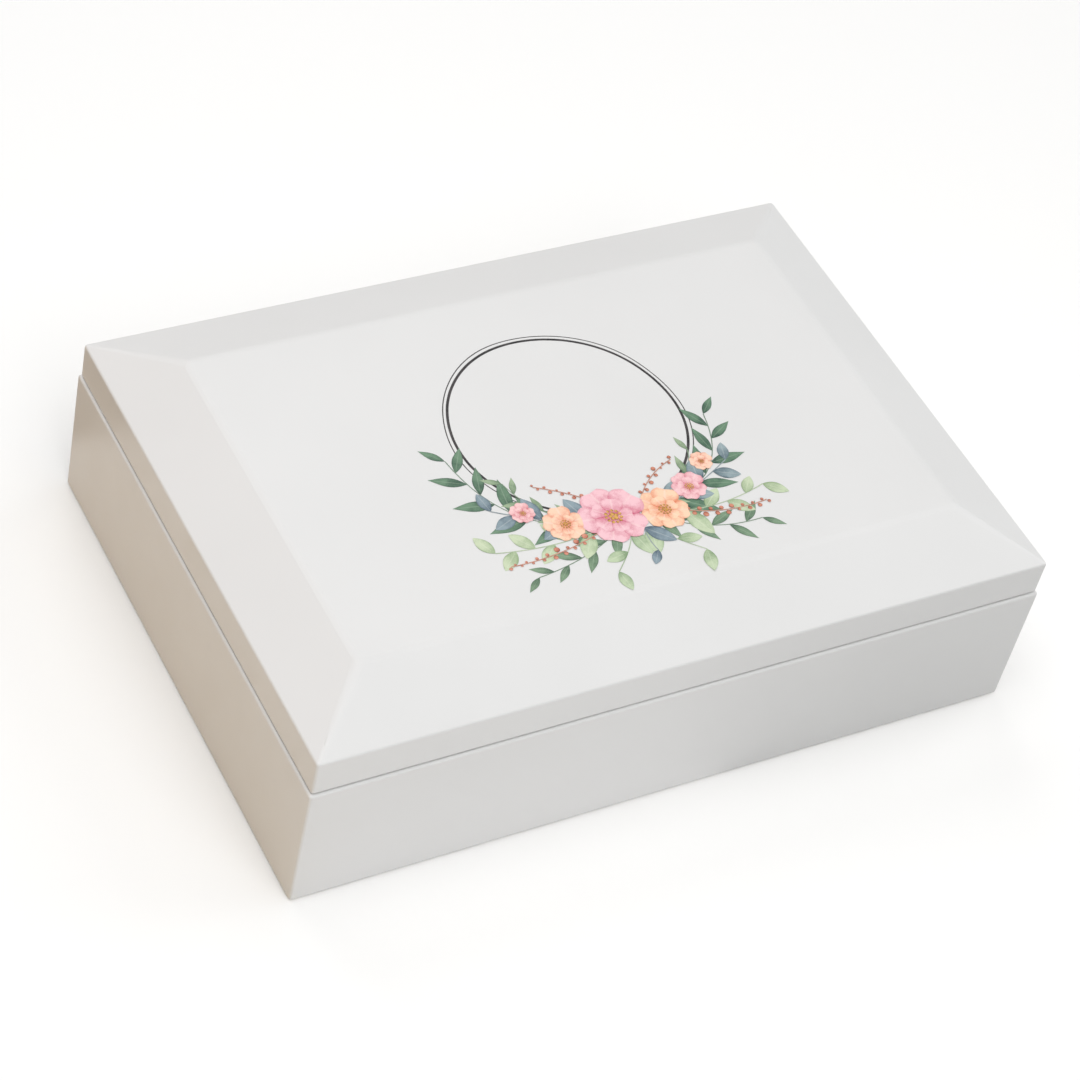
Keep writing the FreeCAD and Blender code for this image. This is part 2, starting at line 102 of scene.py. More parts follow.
def paint(red: int, green: int, blue: int) -> Colour:
    """Turn screen values into the light values that a shader takes.

    Args:
        red: The red value, from 0 to 255.
        green: The green value, from 0 to 255.
        blue: The blue value, from 0 to 255.

    Returns:
        The colour with full opacity.
    """
    channels = [value / 255 for value in (red, green, blue)]
    linear = [c / 12.92 if c <= 0.04045 else ((c + 0.055) / 1.055) ** 2.4 for c in channels]
    return (*linear, 1.0)


class NodeGraph:
    """A node tree under construction."""

    def __init__(self, tree: bpy.types.NodeTree) -> None:
        """Take over a tree.

        Args:
            tree: The tree to add nodes to.
        """
        self.tree = tree

    def add(
        self, kind: str, inputs: dict[str | int, object] | None = None, **settings: object
    ) -> bpy.types.Node:
        """Add one node.

        Args:
            kind: The node's type name.
            inputs: Each input's name or number, with the socket to link or the value to set.
            **settings: The node's own properties.

        Returns:
            The new node.
        """
        node = self.tree.nodes.new(kind)
        for name, setting in settings.items():
            setattr(node, name, setting)
        for key, value in (inputs or {}).items():
            if isinstance(value, bpy.types.NodeSocket):
                self.tree.links.new(value, node.inputs[key])
            else:
                node.inputs[key].default_value = value
        return node

    def math(self, operation: str, first: object, second: object = 0.0) -> bpy.types.NodeSocket:
        """Work out one sum of two sockets or numbers.

        Args:
            operation: The Math node's operation.
            first: The first socket or number.
            second: The second socket or number.

        Returns:
            The result's socket.
        """
        return self.add("ShaderNodeMath", {0: first, 1: second}, operation=operation).outputs[0]


class Shader(NodeGraph):
    """A material's tree around one principled surface."""

    def __init__(self, name: str) -> None:
        """Start a material.

        Args:
            name: The material's name.
        """
        self.material = bpy.data.materials.new(name)
        self.material.use_nodes = True
        super().__init__(self.material.node_tree)
        self.tree.nodes.clear()
        self.surface = self.add("ShaderNodeBsdfPrincipled")
        self.add("ShaderNodeOutputMaterial", {"Surface": self.surface.outputs["BSDF"]})

    def set(self, **inputs: object) -> None:
        """Set or link inputs of the surface, named with underscores for spaces.

        Args:
            **inputs: Each input's socket or value.
        """
        for name, value in inputs.items():
            socket = self.surface.inputs[name.replace("_", " ")]
            if isinstance(value, bpy.types.NodeSocket):
                self.tree.links.new(value, socket)
            else:
                socket.default_value = value

    def place(self, stretch: Sequence[float] = (1.0, 1.0, 1.0)) -> bpy.types.NodeSocket:
        """Give the place on the object, stretched along its axes.

        Args:
            stretch: The factor along each axis.

        Returns:
            The place's socket.
        """
        coordinates = self.add("ShaderNodeTexCoord").outputs["Object"]
        return self.add("ShaderNodeMapping", {"Vector": coordinates, "Scale": stretch}).outputs[0]

    def noise(
        self, grain: float, detail: float = 2.0, stretch: Sequence[float] = (1.0, 1.0, 1.0)
    ) -> bpy.types.NodeSocket:
        """Make noise whose blotches have about one size.

        Args:
            grain: The size of a blotch, in metres.
            detail: How many finer layers are added.
            stretch: The factor along each axis.

        Returns:
            The socket of a value about one half.
        """
        settings = {"Vector": self.place(stretch), "Scale": 1 / grain, "Detail": detail}
        return self.add("ShaderNodeTexNoise", settings).outputs[0]

    def span(
        self, value: object, low: float, high: float, start: float = 0.35, end: float = 0.65
    ) -> bpy.types.NodeSocket:
        """Spread a value over a range.

        Args:
            value: The socket to spread.
            low: What the start becomes.
            high: What the end becomes.
            start: Where the range starts.
            end: Where the range ends.

        Returns:
            The spread value's socket.
        """
        settings = {"Value": value, "From Min": start, "From Max": end, "To Min": low, "To Max": high}
        return self.add("ShaderNodeMapRange", settings).outputs[0]

    def mix(self, factor: object, first: object, second: object) -> bpy.types.NodeSocket:
        """Mix two colours.

        Args:
            factor: The second colour's share.
            first: The first colour.
            second: The second colour.

        Returns:
            The mixed colour's socket.
        """
        return self.add("ShaderNodeMix", {0: factor, 6: first, 7: second}, data_type="RGBA").outputs[2]

    def attribute(self, name: str) -> bpy.types.NodeSocket:
        """Read a value that the mesh carries."""
        return self.add("ShaderNodeAttribute", attribute_name=name).outputs["Fac"]

    def bump(
        self, height: object, strength: float, depth: float, normal: object = None
    ) -> bpy.types.NodeSocket:
        """Roughen the surface.

        Args:
            height: The height's socket, from 0 to 1.
            strength: How much of the bump shows.
            depth: How deep it is, in metres.
            normal: The socket of a bump that lies under this one.

        Returns:
            The socket of the new normal.
        """
        settings = {"Height": height, "Strength": strength, "Distance": depth}
        if normal is not None:
            settings["Normal"] = normal
        return self.add("ShaderNodeBump", settings).outputs[0]


@dataclass(frozen=True)
class Finish:
    """One finish of the box."""

    name: str

    def lay(self, shader: Shader) -> None:
        """Lay the finish into a new material."""
        raise NotImplementedError

    @cached_property
    def material(self) -> bpy.types.Material:
        """Make the finish's material, once.

        Returns:
            The material.
        """
        shader = Shader(self.name)
        self.lay(shader)
        return shader.material


@dataclass(frozen=True)
class Lacquer(Finish):
    """Sprayed satin lacquer over sanded board."""

    colour: Colour
    shade: Colour
    peel: float = 1.1 * MM
    wave: float = 28 * MM
    cloud: float = 60 * MM
    haze: float = 9 * MM

    def lay(self, shader: Shader) -> None:
        """Lay faint clouds of tone, orange peel and the slow waves of hand sanding.

        Args:
            shader: The material's tree.
        """
        clouds = shader.noise(self.cloud, 3.0)
        haze = shader.noise(self.haze, 4.0)
        waves = shader.bump(shader.noise(self.wave, 1.0), 0.25, 0.12 * MM)
        shader.set(
            Base_Color=shader.mix(shader.span(clouds, 0.0, 1.0), self.colour, self.shade),
            Roughness=shader.span(haze, 0.34, 0.42),
            Specular_IOR_Level=0.45,
            Normal=shader.bump(shader.noise(self.peel, 1.0), 0.12, 0.02 * MM, waves),
        )


@dataclass(frozen=True)
class Velvet(Finish):
    """Short-pile velvet, brushed this way and that."""

    colour: Colour
    shade: Colour
    patch: float = 26 * MM
    streak: float = 2.4 * MM
    tuft: float = 0.35 * MM

    def lay(self, shader: Shader) -> None:
        """Lay the brushed patches of the nap, the pile and its bright edges.

        Args:
            shader: The material's tree.
        """
        nap = shader.noise(self.patch, 3.0, (1.0, 0.6, 1.0))
        streaks = shader.noise(self.streak, 4.0, (1.0, 0.35, 1.0))
        pile = shader.noise(self.tuft, 2.0)
        brushed = shader.math("ADD", shader.span(nap, 0.0, 0.7), shader.span(streaks, 0.0, 0.3))
        fluffy = shader.bump(streaks, 0.25, 0.4 * MM)
        shader.set(
            Base_Color=shader.mix(brushed, self.shade, self.colour),
            Roughness=0.92,
            Specular_IOR_Level=0.12,
            Sheen_Weight=0.55,
            Sheen_Roughness=0.38,
            Sheen_Tint=self.colour,
            Normal=shader.bump(pile, 0.6, 0.18 * MM, fluffy),
        )


@dataclass(frozen=True)
class Felt(Finish):
    """Pressed wool felt."""

    colour: Colour
    shade: Colour
    fibre: float = 0.9 * MM
    tuft: float = 7 * MM

    def lay(self, shader: Shader) -> None:
        """Lay matted fibres that run both ways, with darker tufts.

        Args:
            shader: The material's tree.
        """
        along = shader.noise(self.fibre, 4.0, (0.16, 1.0, 1.0))
        across = shader.noise(self.fibre, 4.0, (1.0, 0.16, 1.0))
        fibres = shader.math("MAXIMUM", along, across)
        tufts = shader.noise(self.tuft, 4.0)
        tone = shader.math("MULTIPLY", shader.span(fibres, 0.3, 1.0, 0.4, 0.7), shader.span(tufts, 0.7, 1.1))
        shader.set(
            Base_Color=shader.mix(tone, self.shade, self.colour),
            Roughness=0.97,
            Specular_IOR_Level=0.08,
            Sheen_Weight=0.25,
            Sheen_Roughness=0.6,
            Normal=shader.bump(fibres, 0.7, 0.25 * MM),
        )


@dataclass(frozen=True)
class Brass(Finish):
    """Drawn and brushed brass that has just begun to dull."""

    colour: Colour
    dull: Colour
    brush_line: float = 0.25 * MM
    cloud: float = 5 * MM

    def lay(self, shader: Shader) -> None:
        """Lay brush lines along the hinge and dull clouds over them.

        Args:
            shader: The material's tree.
        """
        brushed = shader.noise(self.brush_line, 3.0, (0.03, 1.0, 1.0))
        clouds = shader.noise(self.cloud, 4.0)
        shader.set(
            Base_Color=shader.mix(shader.span(clouds, 0.0, 0.55), self.colour, self.dull),
            Metallic=1.0,
            Roughness=shader.math("ADD", shader.span(brushed, 0.2, 0.34), shader.span(clouds, 0.0, 0.08)),
            Normal=shader.bump(brushed, 0.12, 0.03 * MM),
        )


@dataclass(frozen=True)
class LineInk(Finish):
    """Dark printed line work."""

    colour: Colour
    worn: Colour
    blot: float = 3 * MM

    def lay(self, shader: Shader) -> None:
        """Lay the ink a little unevenly, as a pen does.

        Args:
            shader: The material's tree.
        """
        flow = shader.noise(self.blot, 3.0)
        shader.set(
            Base_Color=shader.mix(shader.span(flow, 0.0, 1.0), self.colour, self.worn),
            Roughness=shader.span(flow, 0.36, 0.46),
        )


@dataclass(frozen=True)
class Watercolour(Finish):
    """Printed washes: a pale and a deep tone of two hues, picked by the mesh's own tone value."""

    pale: tuple[Colour, Colour]
    deep: tuple[Colour, Colour]
    paper: Colour
    heart: float = 0.75
    bloom: float = 3.2 * MM
    grain: float = 0.35 * MM

    def lay(self, shader: Shader) -> None:
        """Lay a wash that pools at the edges and the heart, with grains of pigment and a bare rib.

        Args:
            shader: The material's tree.
        """
        along = shader.attribute("along")
        across = shader.attribute("across")
        tone = shader.attribute("tone")
        pale = shader.mix(tone, *self.pale)
        deep = shader.mix(tone, *self.deep)
        pool = shader.span(across, 0.0, 0.35, 0.7, 1.0)
        base = shader.span(along, self.heart, 0.0, 0.0, 0.75)
        bloom = shader.span(shader.noise(self.bloom, 3.0), -0.24, 0.24)
        grains = shader.span(shader.noise(self.grain, 3.0), -0.12, 0.12)
        wash = shader.math("ADD", shader.math("ADD", pool, base), shader.math("ADD", bloom, grains))
        rib = shader.span(across, 0.35, 0.0, 0.0, 0.12)
        colour = shader.mix(shader.span(wash, 0.0, 1.0, 0.0, 1.0), pale, deep)
        shader.set(Base_Color=shader.mix(rib, colour, self.paper), Roughness=0.42)


@dataclass(frozen=True)
class PaleFloor(Finish):
    """The plain matt floor that the box stands on, and the matt cards by it, one of them a dark painted
    shadow.
    """

    colour: Colour

    def lay(self, shader: Shader) -> None:
        """Lay one matt colour: white for the floor, each card's own for the cards."""
        shader.set(Base_Color=self.colour, Roughness=0.9, Specular_IOR_Level=0.0)


LACQUER = Lacquer("satin_white_lacquer", (0.745, 0.745, 0.74, 1.0), (0.73, 0.73, 0.725, 1.0))
VELVET = Velvet("cream_velvet", (0.8, 0.73, 0.62, 1.0), (0.68, 0.6, 0.49, 1.0))
FELT = Felt("grey_felt", (0.52, 0.49, 0.44, 1.0), (0.3, 0.28, 0.25, 1.0))
BRASS = Brass("satin_brass", (0.83, 0.62, 0.29, 1.0), (0.6, 0.41, 0.18, 1.0))
INK = LineInk("charcoal_ink", paint(38, 36, 38), paint(70, 66, 66))
LEAF_WASH = Watercolour(
    "leaf_wash", (paint(104, 138, 112), paint(168, 186, 152)), (paint(30, 66, 54), paint(84, 116, 84)),
    paint(176, 194, 172),
)
MINT_WASH = Watercolour(
    "mint_leaf_wash", (paint(204, 216, 184), paint(186, 204, 170)),
    (paint(138, 164, 120), paint(112, 142, 104)), paint(222, 228, 208),
)
BLUE_WASH = Watercolour(
    "blue_leaf_wash", (paint(140, 158, 168), paint(164, 182, 180)), (paint(58, 80, 98), paint(82, 108, 114)),
    paint(204, 212, 212),
)
PETAL_WASH = Watercolour(
    "petal_wash", (paint(244, 198, 206), paint(250, 212, 180)), (paint(204, 92, 122), paint(228, 128, 90)),
    paint(250, 228, 224), 1.0,
)
BERRY_WASH = Watercolour(
    "berry_wash", (paint(220, 150, 128), paint(206, 134, 108)), (paint(166, 86, 68), paint(146, 84, 58)),
    paint(236, 196, 178),
)
STAMEN_WASH = Watercolour(
    "stamen_wash", (paint(226, 178, 92), paint(214, 160, 80)), (paint(150, 84, 50), paint(134, 76, 46)),
    paint(236, 206, 140),
)
FLOOR = PaleFloor("pale_floor", (0.985, 0.98, 0.97, 1.0))


def link(name: str, mesh: bpy.types.Mesh) -> bpy.types.Object:
    """Put a mesh into the scene as an object at the origin.

    Args:
        name: The object's name.
        mesh: Its mesh, with its place in it.

    Returns:
        The object.
    """
    piece = bpy.data.objects.new(name, mesh)
    bpy.context.scene.collection.objects.link(piece)
    return piece


def link_bmesh(name: str, shape: bmesh.types.BMesh) -> bpy.types.Object:
    """Turn a finished bmesh into an object with outward faces.

    Args:
        name: The object's name.
        shape: The bmesh, which is freed.

    Returns:
        The object.
    """
    bmesh.ops.recalc_face_normals(shape, faces=shape.faces)
    mesh = bpy.data.meshes.new(name)
    shape.to_mesh(mesh)
    shape.free()
    return link(name, mesh)


def flatten_modifiers(piece: bpy.types.Object) -> None:
    """Turn an object's modifiers into plain mesh.

    Args:
        piece: The object, which keeps its name.
    """
    depsgraph = bpy.context.evaluated_depsgraph_get()
    evaluated = piece.evaluated_get(depsgraph)
    mesh = bpy.data.meshes.new_from_object(evaluated, preserve_all_data_layers=True, depsgraph=depsgraph)
    mesh.name = piece.name
    piece.modifiers.clear()
    piece.data = mesh


def smooth(piece: bpy.types.Object, crease: float | None = None) -> None:
    """Shade an object smoothly.

    Args:
        piece: The object.
        crease: The angle in degrees past which an edge stays sharp, or None for none.
    """
    piece.data.shade_smooth()
    if crease is not None:
        piece.data.set_sharp_from_angle(angle=math.radians(crease))


def rounded_outline(low: Sequence[float], high: Sequence[float], radius: float, steps: int) -> list[Point]:
    """Draw a rectangle with round corners, counter-clockwise.

    Args:
        low: The lowest corner.
        high: The highest corner.
        radius: The corners' radius.
        steps: How many steps each corner's arc takes.

    Returns:
        The outline's points.
    """
    centres = [
        (high[0] - radius, high[1] - radius), (low[0] + radius, high[1] - radius),
        (low[0] + radius, low[1] + radius), (high[0] - radius, low[1] + radius),
    ]
    points = []
    for quarter, (x, y) in enumerate(centres):
        for step in range(steps + 1):
            angle = math.pi / 2 * (quarter + step / steps)
            points.append((x + radius * math.cos(angle), y + radius * math.sin(angle)))
    return points


class SubAssembly:
    """What the sub-assemblies share: dressing carried-over nodes and seating new pieces."""

    def dress_nodes(self, names: Iterable[str], finish: Finish) -> None:
        """Give carried-over nodes their finish.

        Args:
            names: The nodes' names.
            finish: The finish that they all take.
        """
        for name in names:
            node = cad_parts[name]
            for slot in node.material_slots:
                slot.material = finish.material
            LOG.info("%s: kept, in %s", name, finish.name)

    def seat(
        self, piece: bpy.types.Object, body: Body, slot: Slot | None = None, stands_for: Iterable[str] = ()
    ) -> None:
        """Let a new piece ride on its body, in place of the nodes that it stands for.

        Args:
            piece: The finished piece.
            body: The body that it moves with.
            slot: The record's slot that its finish belongs to; not used.
            stands_for: The nodes that it hides.
        """
        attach(piece, body.value)
        if stands_for:
            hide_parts(*stands_for)
        LOG.info("%s: made, %d faces, on %s", piece.name, len(piece.data.polygons), body.value)


@dataclass
class Case(SubAssembly):
    """The base of the box: four mitred walls, the bottom board and the felt under it."""

    felt_softness: float = 0.25 * MM
    felt_corner: float = 0.9 * MM
    corner_steps: int = 6
    crease: float = 30.0

    def dress(self) -> None:
        """Lacquer the boards."""
        self.dress_nodes([f"base_{side.value}_wall" for side in Side] + ["bottom_board"], LACQUER)

    def make_felt(self) -> None:
        """Cut the felt and lay it under the base, with its cut edges a little crushed."""
        low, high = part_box("underside_felt")
        shape = bmesh.new()
        outline = rounded_outline(low.xy, high.xy, self.felt_corner, self.corner_steps)
        face = shape.faces.new([shape.verts.new((x, y, low.z)) for x, y in outline])
        raised = bmesh.ops.extrude_face_region(shape, geom=[face])["geom"]
        top = [item for item in raised if isinstance(item, bmesh.types.BMVert)]
        bmesh.ops.translate(shape, verts=top, vec=(0, 0, high.z - low.z))
        rims = [edge for edge in shape.edges if abs(edge.verts[0].co.z - edge.verts[1].co.z) < TOLERANCE]
        bmesh.ops.bevel(shape, geom=rims, offset=self.felt_softness, segments=2, profile=0.5, affect="EDGES")
        felt = link_bmesh("felt_underside", shape)
        smooth(felt, self.crease)
        felt.data.materials.append(FELT.material)
        self.seat(felt, Body.BASE, Slot.FELT, ["underside_felt"])


@dataclass
class Cushion:
    """A padded block that fills the room of a plain solid and swells towards one side.

    It starts thinner than the solid by the slack, and its middle ends past the solid by the swell at most.
    Of the cover's sideways pull only the draw_in share is kept.
    """

    node: str
    name: str
    body: Body
    opens: Opens
    radii: tuple[float, float, float]
    cell: float
    slack: float
    swell: float
    fill: float
    draw_in: float = 0.4
    bend_steps: int = 4
    piece: bpy.types.Object | None = None

    def lines(self, low: float, high: float, ends: tuple[float, float]) -> list[float]:
        """Space the grid lines along one axis, closer where the edges are rounded.

        Args:
            low: Where the block starts.
            high: Where it ends.
            ends: The rounding at its start and its end.

        Returns:
            The lines' places.
        """
        bend = [step / self.bend_steps for step in range(self.bend_steps)]
        first = [low + ends[0] * step for step in bend] if ends[0] else []
        last = [high - ends[1] * step for step in reversed(bend)] if ends[1] else []
        start, end = low + ends[0], high - ends[1]
        count = max(2, math.ceil((end - start) / self.cell) + 1)
        return first + np.linspace(start, end, count).tolist() + last

    def ends(self, axis: int) -> tuple[float, float]:
        """Give the rounding at both ends of one axis, where the glued side has none.

        Args:
            axis: The axis, from 0 to 2.

        Returns:
            The rounding at the start and at the end.
        """
        radius = self.radii[axis]
        if axis < 2:
            return radius, radius
        return (0.0, radius) if self.opens is Opens.UP else (radius, 0.0)

    def room(self) -> tuple[Vector, Vector]:
        """Give the corners of the solid that the cushion stands for."""
        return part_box(self.node)

    def rounded(self, place: Vector, low: Vector, high: Vector) -> Vector:
        """Pull a point of the square block onto the rounded one.

        Args:
            place: The point on the square block.
            low: The block's lowest corner.
            high: The block's highest corner.

        Returns:
            The rounded place; the glued side stays flat.
        """
        inner = Vector()
        for axis in range(3):
            start, end = self.ends(axis)
            inner[axis] = min(max(place[axis], low[axis] + start), high[axis] - end)
        away = Vector((place[axis] - inner[axis]) / self.radii[axis] for axis in range(3))
        if away.length == 0:
            return place
        away *= max(abs(share) for share in away) / away.length
        return inner + Vector(away[axis] * self.radii[axis] for axis in range(3))

    def make(self) -> None:
        """Build the slack block as an even grid of faces."""
        low, high = self.room()
        if self.opens is Opens.UP:
            high.z -= self.slack
        else:
            low.z += self.slack
        grid = [self.lines(low[axis], high[axis], self.ends(axis)) for axis in range(3)]
        last = [len(lines) - 1 for lines in grid]
        shape = bmesh.new()
        corners: dict[tuple[int, int, int], bmesh.types.BMVert] = {}

        def corner(key: tuple[int, int, int]) -> bmesh.types.BMVert:
            """Give the vertex at one crossing of the grid, made once.

            Args:
                key: The crossing's line number on each axis.

            Returns:
                The vertex.
            """
            if key not in corners:
                place = Vector(grid[axis][key[axis]] for axis in range(3))
                corners[key] = shape.verts.new(self.rounded(place, low, high))
            return corners[key]

        for axis in range(3):
            first, second = [other for other in range(3) if other != axis]
            for level in (0, last[axis]):
                for i in range(last[first]):
                    for j in range(last[second]):
                        keys = []
                        for a, b in ((0, 0), (1, 0), (1, 1), (0, 1)):
                            key = [0, 0, 0]
                            key[axis], key[first], key[second] = level, i + a, j + b
                            keys.append(tuple(key))
                        shape.faces.new([corner(key) for key in keys])
        self.piece = link_bmesh(self.name, shape)
        smooth(self.piece)

    def glued(self) -> list[int]:
        """Find the side that is glued down.

        Returns:
            The numbers of its vertices.
        """
        low, high = self.room()
        level = low.z if self.opens is Opens.UP else high.z
        return [v.index for v in self.piece.data.vertices if abs(v.co.z - level) < TOLERANCE]

    def blow_up(self, pressure: float) -> None:
        """Hang a cloth simulation on the block that swells it.

        Args:
            pressure: The pressure inside.
        """
        group = self.piece.vertex_groups.new(name="glued")
        group.add(self.glued(), 1.0, "REPLACE")
        cloth = self.piece.modifiers.new("stuffing", "CLOTH")
        cloth.settings.vertex_group_mass = group.name
        cloth.settings.use_pressure = True
        cloth.settings.uniform_pressure_force = pressure
        cloth.settings.effector_weights.gravity = 0
        cloth.collision_settings.use_collision = False
        cloth.collision_settings.use_self_collision = False

    def settle(self, simulated: bool) -> None:
        """Take over the swollen shape, keep it in its room and finish the surface.

        Args:
            simulated: Whether the simulation has run.
        """
        low, high = self.room()
        low.z -= self.swell if self.opens is Opens.DOWN else 0.0
        high.z += self.swell if self.opens is Opens.UP else 0.0
        if simulated:
            depsgraph = bpy.context.evaluated_depsgraph_get()
            swollen = self.piece.evaluated_get(depsgraph).data.vertices
            reach = self.slack + self.swell
            shares = Vector((self.draw_in, self.draw_in, 1.0))
            for vertex, target in zip(self.piece.data.vertices, swollen):
                move = (target.co - vertex.co) * shares
                place = vertex.co + move.normalized() * reach * math.tanh(move.length / reach)
                vertex.co = Vector(min(max(place[axis], low[axis]), high[axis]) for axis in range(3))
            self.piece.modifiers.clear()
        finer = self.piece.modifiers.new("finer", "SUBSURF")
        finer.levels = finer.render_levels = 1
        flatten_modifiers(self.piece)
        smooth(self.piece)
        self.piece.data.materials.append(VELVET.material)


@dataclass
class Upholstery(SubAssembly):
    """Every padded piece of the lining: floor pads, ring rolls and the pad inside the lid."""

    pressure: float = 5.0
    frames: int = 20
    bays: tuple[str, ...] = ("back_bay", "front_left_bay", "front_right_bay")
    ring_rolls: int = 8

    def cushions(self) -> list[Cushion]:
        """Plan the cushions, each with its own softness.

        Returns:
            The floor pads, the ring rolls and the lid's pad.
        """
        pads = [
            Cushion(
                f"{bay}_floor_pad", f"{bay}_cushion", Body.BASE, Opens.UP,
                radii=(1.2 * MM, 1.2 * MM, 1.2 * MM), cell=4.0 * MM, slack=0.8 * MM, swell=0.8 * MM,
                fill=0.5,
            )
            for bay in self.bays
        ]
        rolls = [
            Cushion(
                f"ring_roll_{number}", f"ring_cushion_{number}", Body.BASE, Opens.UP,
                radii=(2.5 * MM, 7.0 * MM, 7.0 * MM), cell=2.5 * MM, slack=0.6 * MM, swell=0.2 * MM,
                fill=0.8,
            )
            for number in range(1, self.ring_rolls + 1)
        ]
        lid = Cushion(
            "lid_lining_pad", "lid_cushion", Body.LID, Opens.DOWN,
            radii=(1.8 * MM, 1.8 * MM, 1.8 * MM), cell=4.5 * MM, slack=1.2 * MM, swell=1.3 * MM, fill=0.6,
        )
        return [*pads, *rolls, lid]

    def make(self) -> None:
        """Build every cushion, swell them all at once and seat them."""
        cushions = self.cushions()
        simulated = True
        for cushion in cushions:
            cushion.make()
            if simulated:
                cushion.blow_up(self.pressure)
        if simulated:
            for number in range(1, self.frames + 1):
                bpy.context.scene.frame_set(number)
        for cushion in cushions:
            cushion.settle(simulated)
            self.seat(cushion.piece, cushion.body, Slot.VELVET, [cushion.node])
        bpy.context.scene.frame_set(1)


@dataclass
class Partitions(SubAssembly):
    """The velvet-covered boards inside: liners along the walls and dividers halved into each other."""

    fit: float = 0.15 * MM
    wrap: float = 0.65 * MM
    wrap_steps: int = 3
    crease: float = 40.0

    def board(self, name: str, outline: Sequence[Point], axis: int, start: float, end: float) -> None:
        """Cut a board from an outline on its face, wrap it and seat it.

        Args:
            name: The node that it stands for.
            outline: Places along the board and up, counter-clockwise.
            axis: The axis across the board, 0 or 1.
            start: Where the board starts on that axis.
            end: Where it ends.
        """
        shape = bmesh.new()
        ends = []
        for level in (start, end):
            places = [(level, a, z) if axis == 0 else (a, level, z) for a, z in outline]
            ends.append([shape.verts.new(place) for place in places])
        for ring in ends:
            shape.faces.new(ring)
        for index in range(len(outline)):
            after = (index + 1) % len(outline)
            shape.faces.new([ends[0][index], ends[0][after], ends[1][after], ends[1][index]])
        bmesh.ops.recalc_face_normals(shape, faces=shape.faces)
        bmesh.ops.bevel(
            shape, geom=shape.edges, offset=self.wrap, segments=self.wrap_steps, profile=0.5, affect="EDGES",
            clamp_overlap=True,
        )
        piece = link_bmesh(f"{name}_cover", shape)
        smooth(piece, self.crease)
        piece.data.materials.append(VELVET.material)
        self.seat(piece, Body.BASE, Slot.VELVET, [name])

    def make(self) -> None:
        """Make the four liners and the three dividers."""
        for side in Side:
            low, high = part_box(f"{side.value}_liner")
            axis = 1 if side in (Side.FRONT, Side.BACK) else 0
            along = 1 - axis
            start, end = low[along], high[along]
            outline = [(start, low.z), (end, low.z), (end, high.z), (start, high.z)]
            self.board(f"{side.value}_liner", outline, axis, low[axis], high[axis])
        ring_low, ring_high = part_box("ring_bay_divider")
        cross_low, cross_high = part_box("cross_divider")
        split_low, split_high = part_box("front_bay_divider")
        floor, top = ring_low.z, ring_high.z
        half = (floor + top) / 2
        self.board("ring_bay_divider", [
            (ring_low.y, floor), (ring_high.y, floor), (ring_high.y, top),
            (cross_high.y + self.fit, top), (cross_high.y + self.fit, half),
            (cross_low.y - self.fit, half), (cross_low.y - self.fit, top), (ring_low.y, top),
        ], 0, ring_low.x, ring_high.x)
        foot = ring_high.x + self.fit
        self.board("cross_divider", [
            (foot, floor), (cross_high.x, floor), (cross_high.x, top),
            (split_high.x + self.fit, top), (split_high.x + self.fit, half),
            (split_low.x - self.fit, half), (split_low.x - self.fit, top),
            (cross_low.x, top), (cross_low.x, half + self.fit), (foot, half + self.fit),
        ], 1, cross_low.y, cross_high.y)
        foot = cross_low.y - self.fit
        self.board("front_bay_divider", [
            (split_low.y, floor), (foot, floor), (foot, half + self.fit),
            (split_high.y, half + self.fit), (split_high.y, top), (split_low.y, top),
        ], 0, split_low.x, split_high.x)


@dataclass
class Hinges(SubAssembly):
    """The two stop hinges, with their pins and screws."""

    pieces: tuple[str, ...] = ("base_leaf", "lid_leaf", "pin", "base_screws", "lid_screws")

    def dress(self) -> None:
        """Give every piece of both hinges its brass."""
        sides = (Side.LEFT, Side.RIGHT)
        self.dress_nodes([f"{side.value}_hinge_{piece}" for side in sides for piece in self.pieces], BRASS)


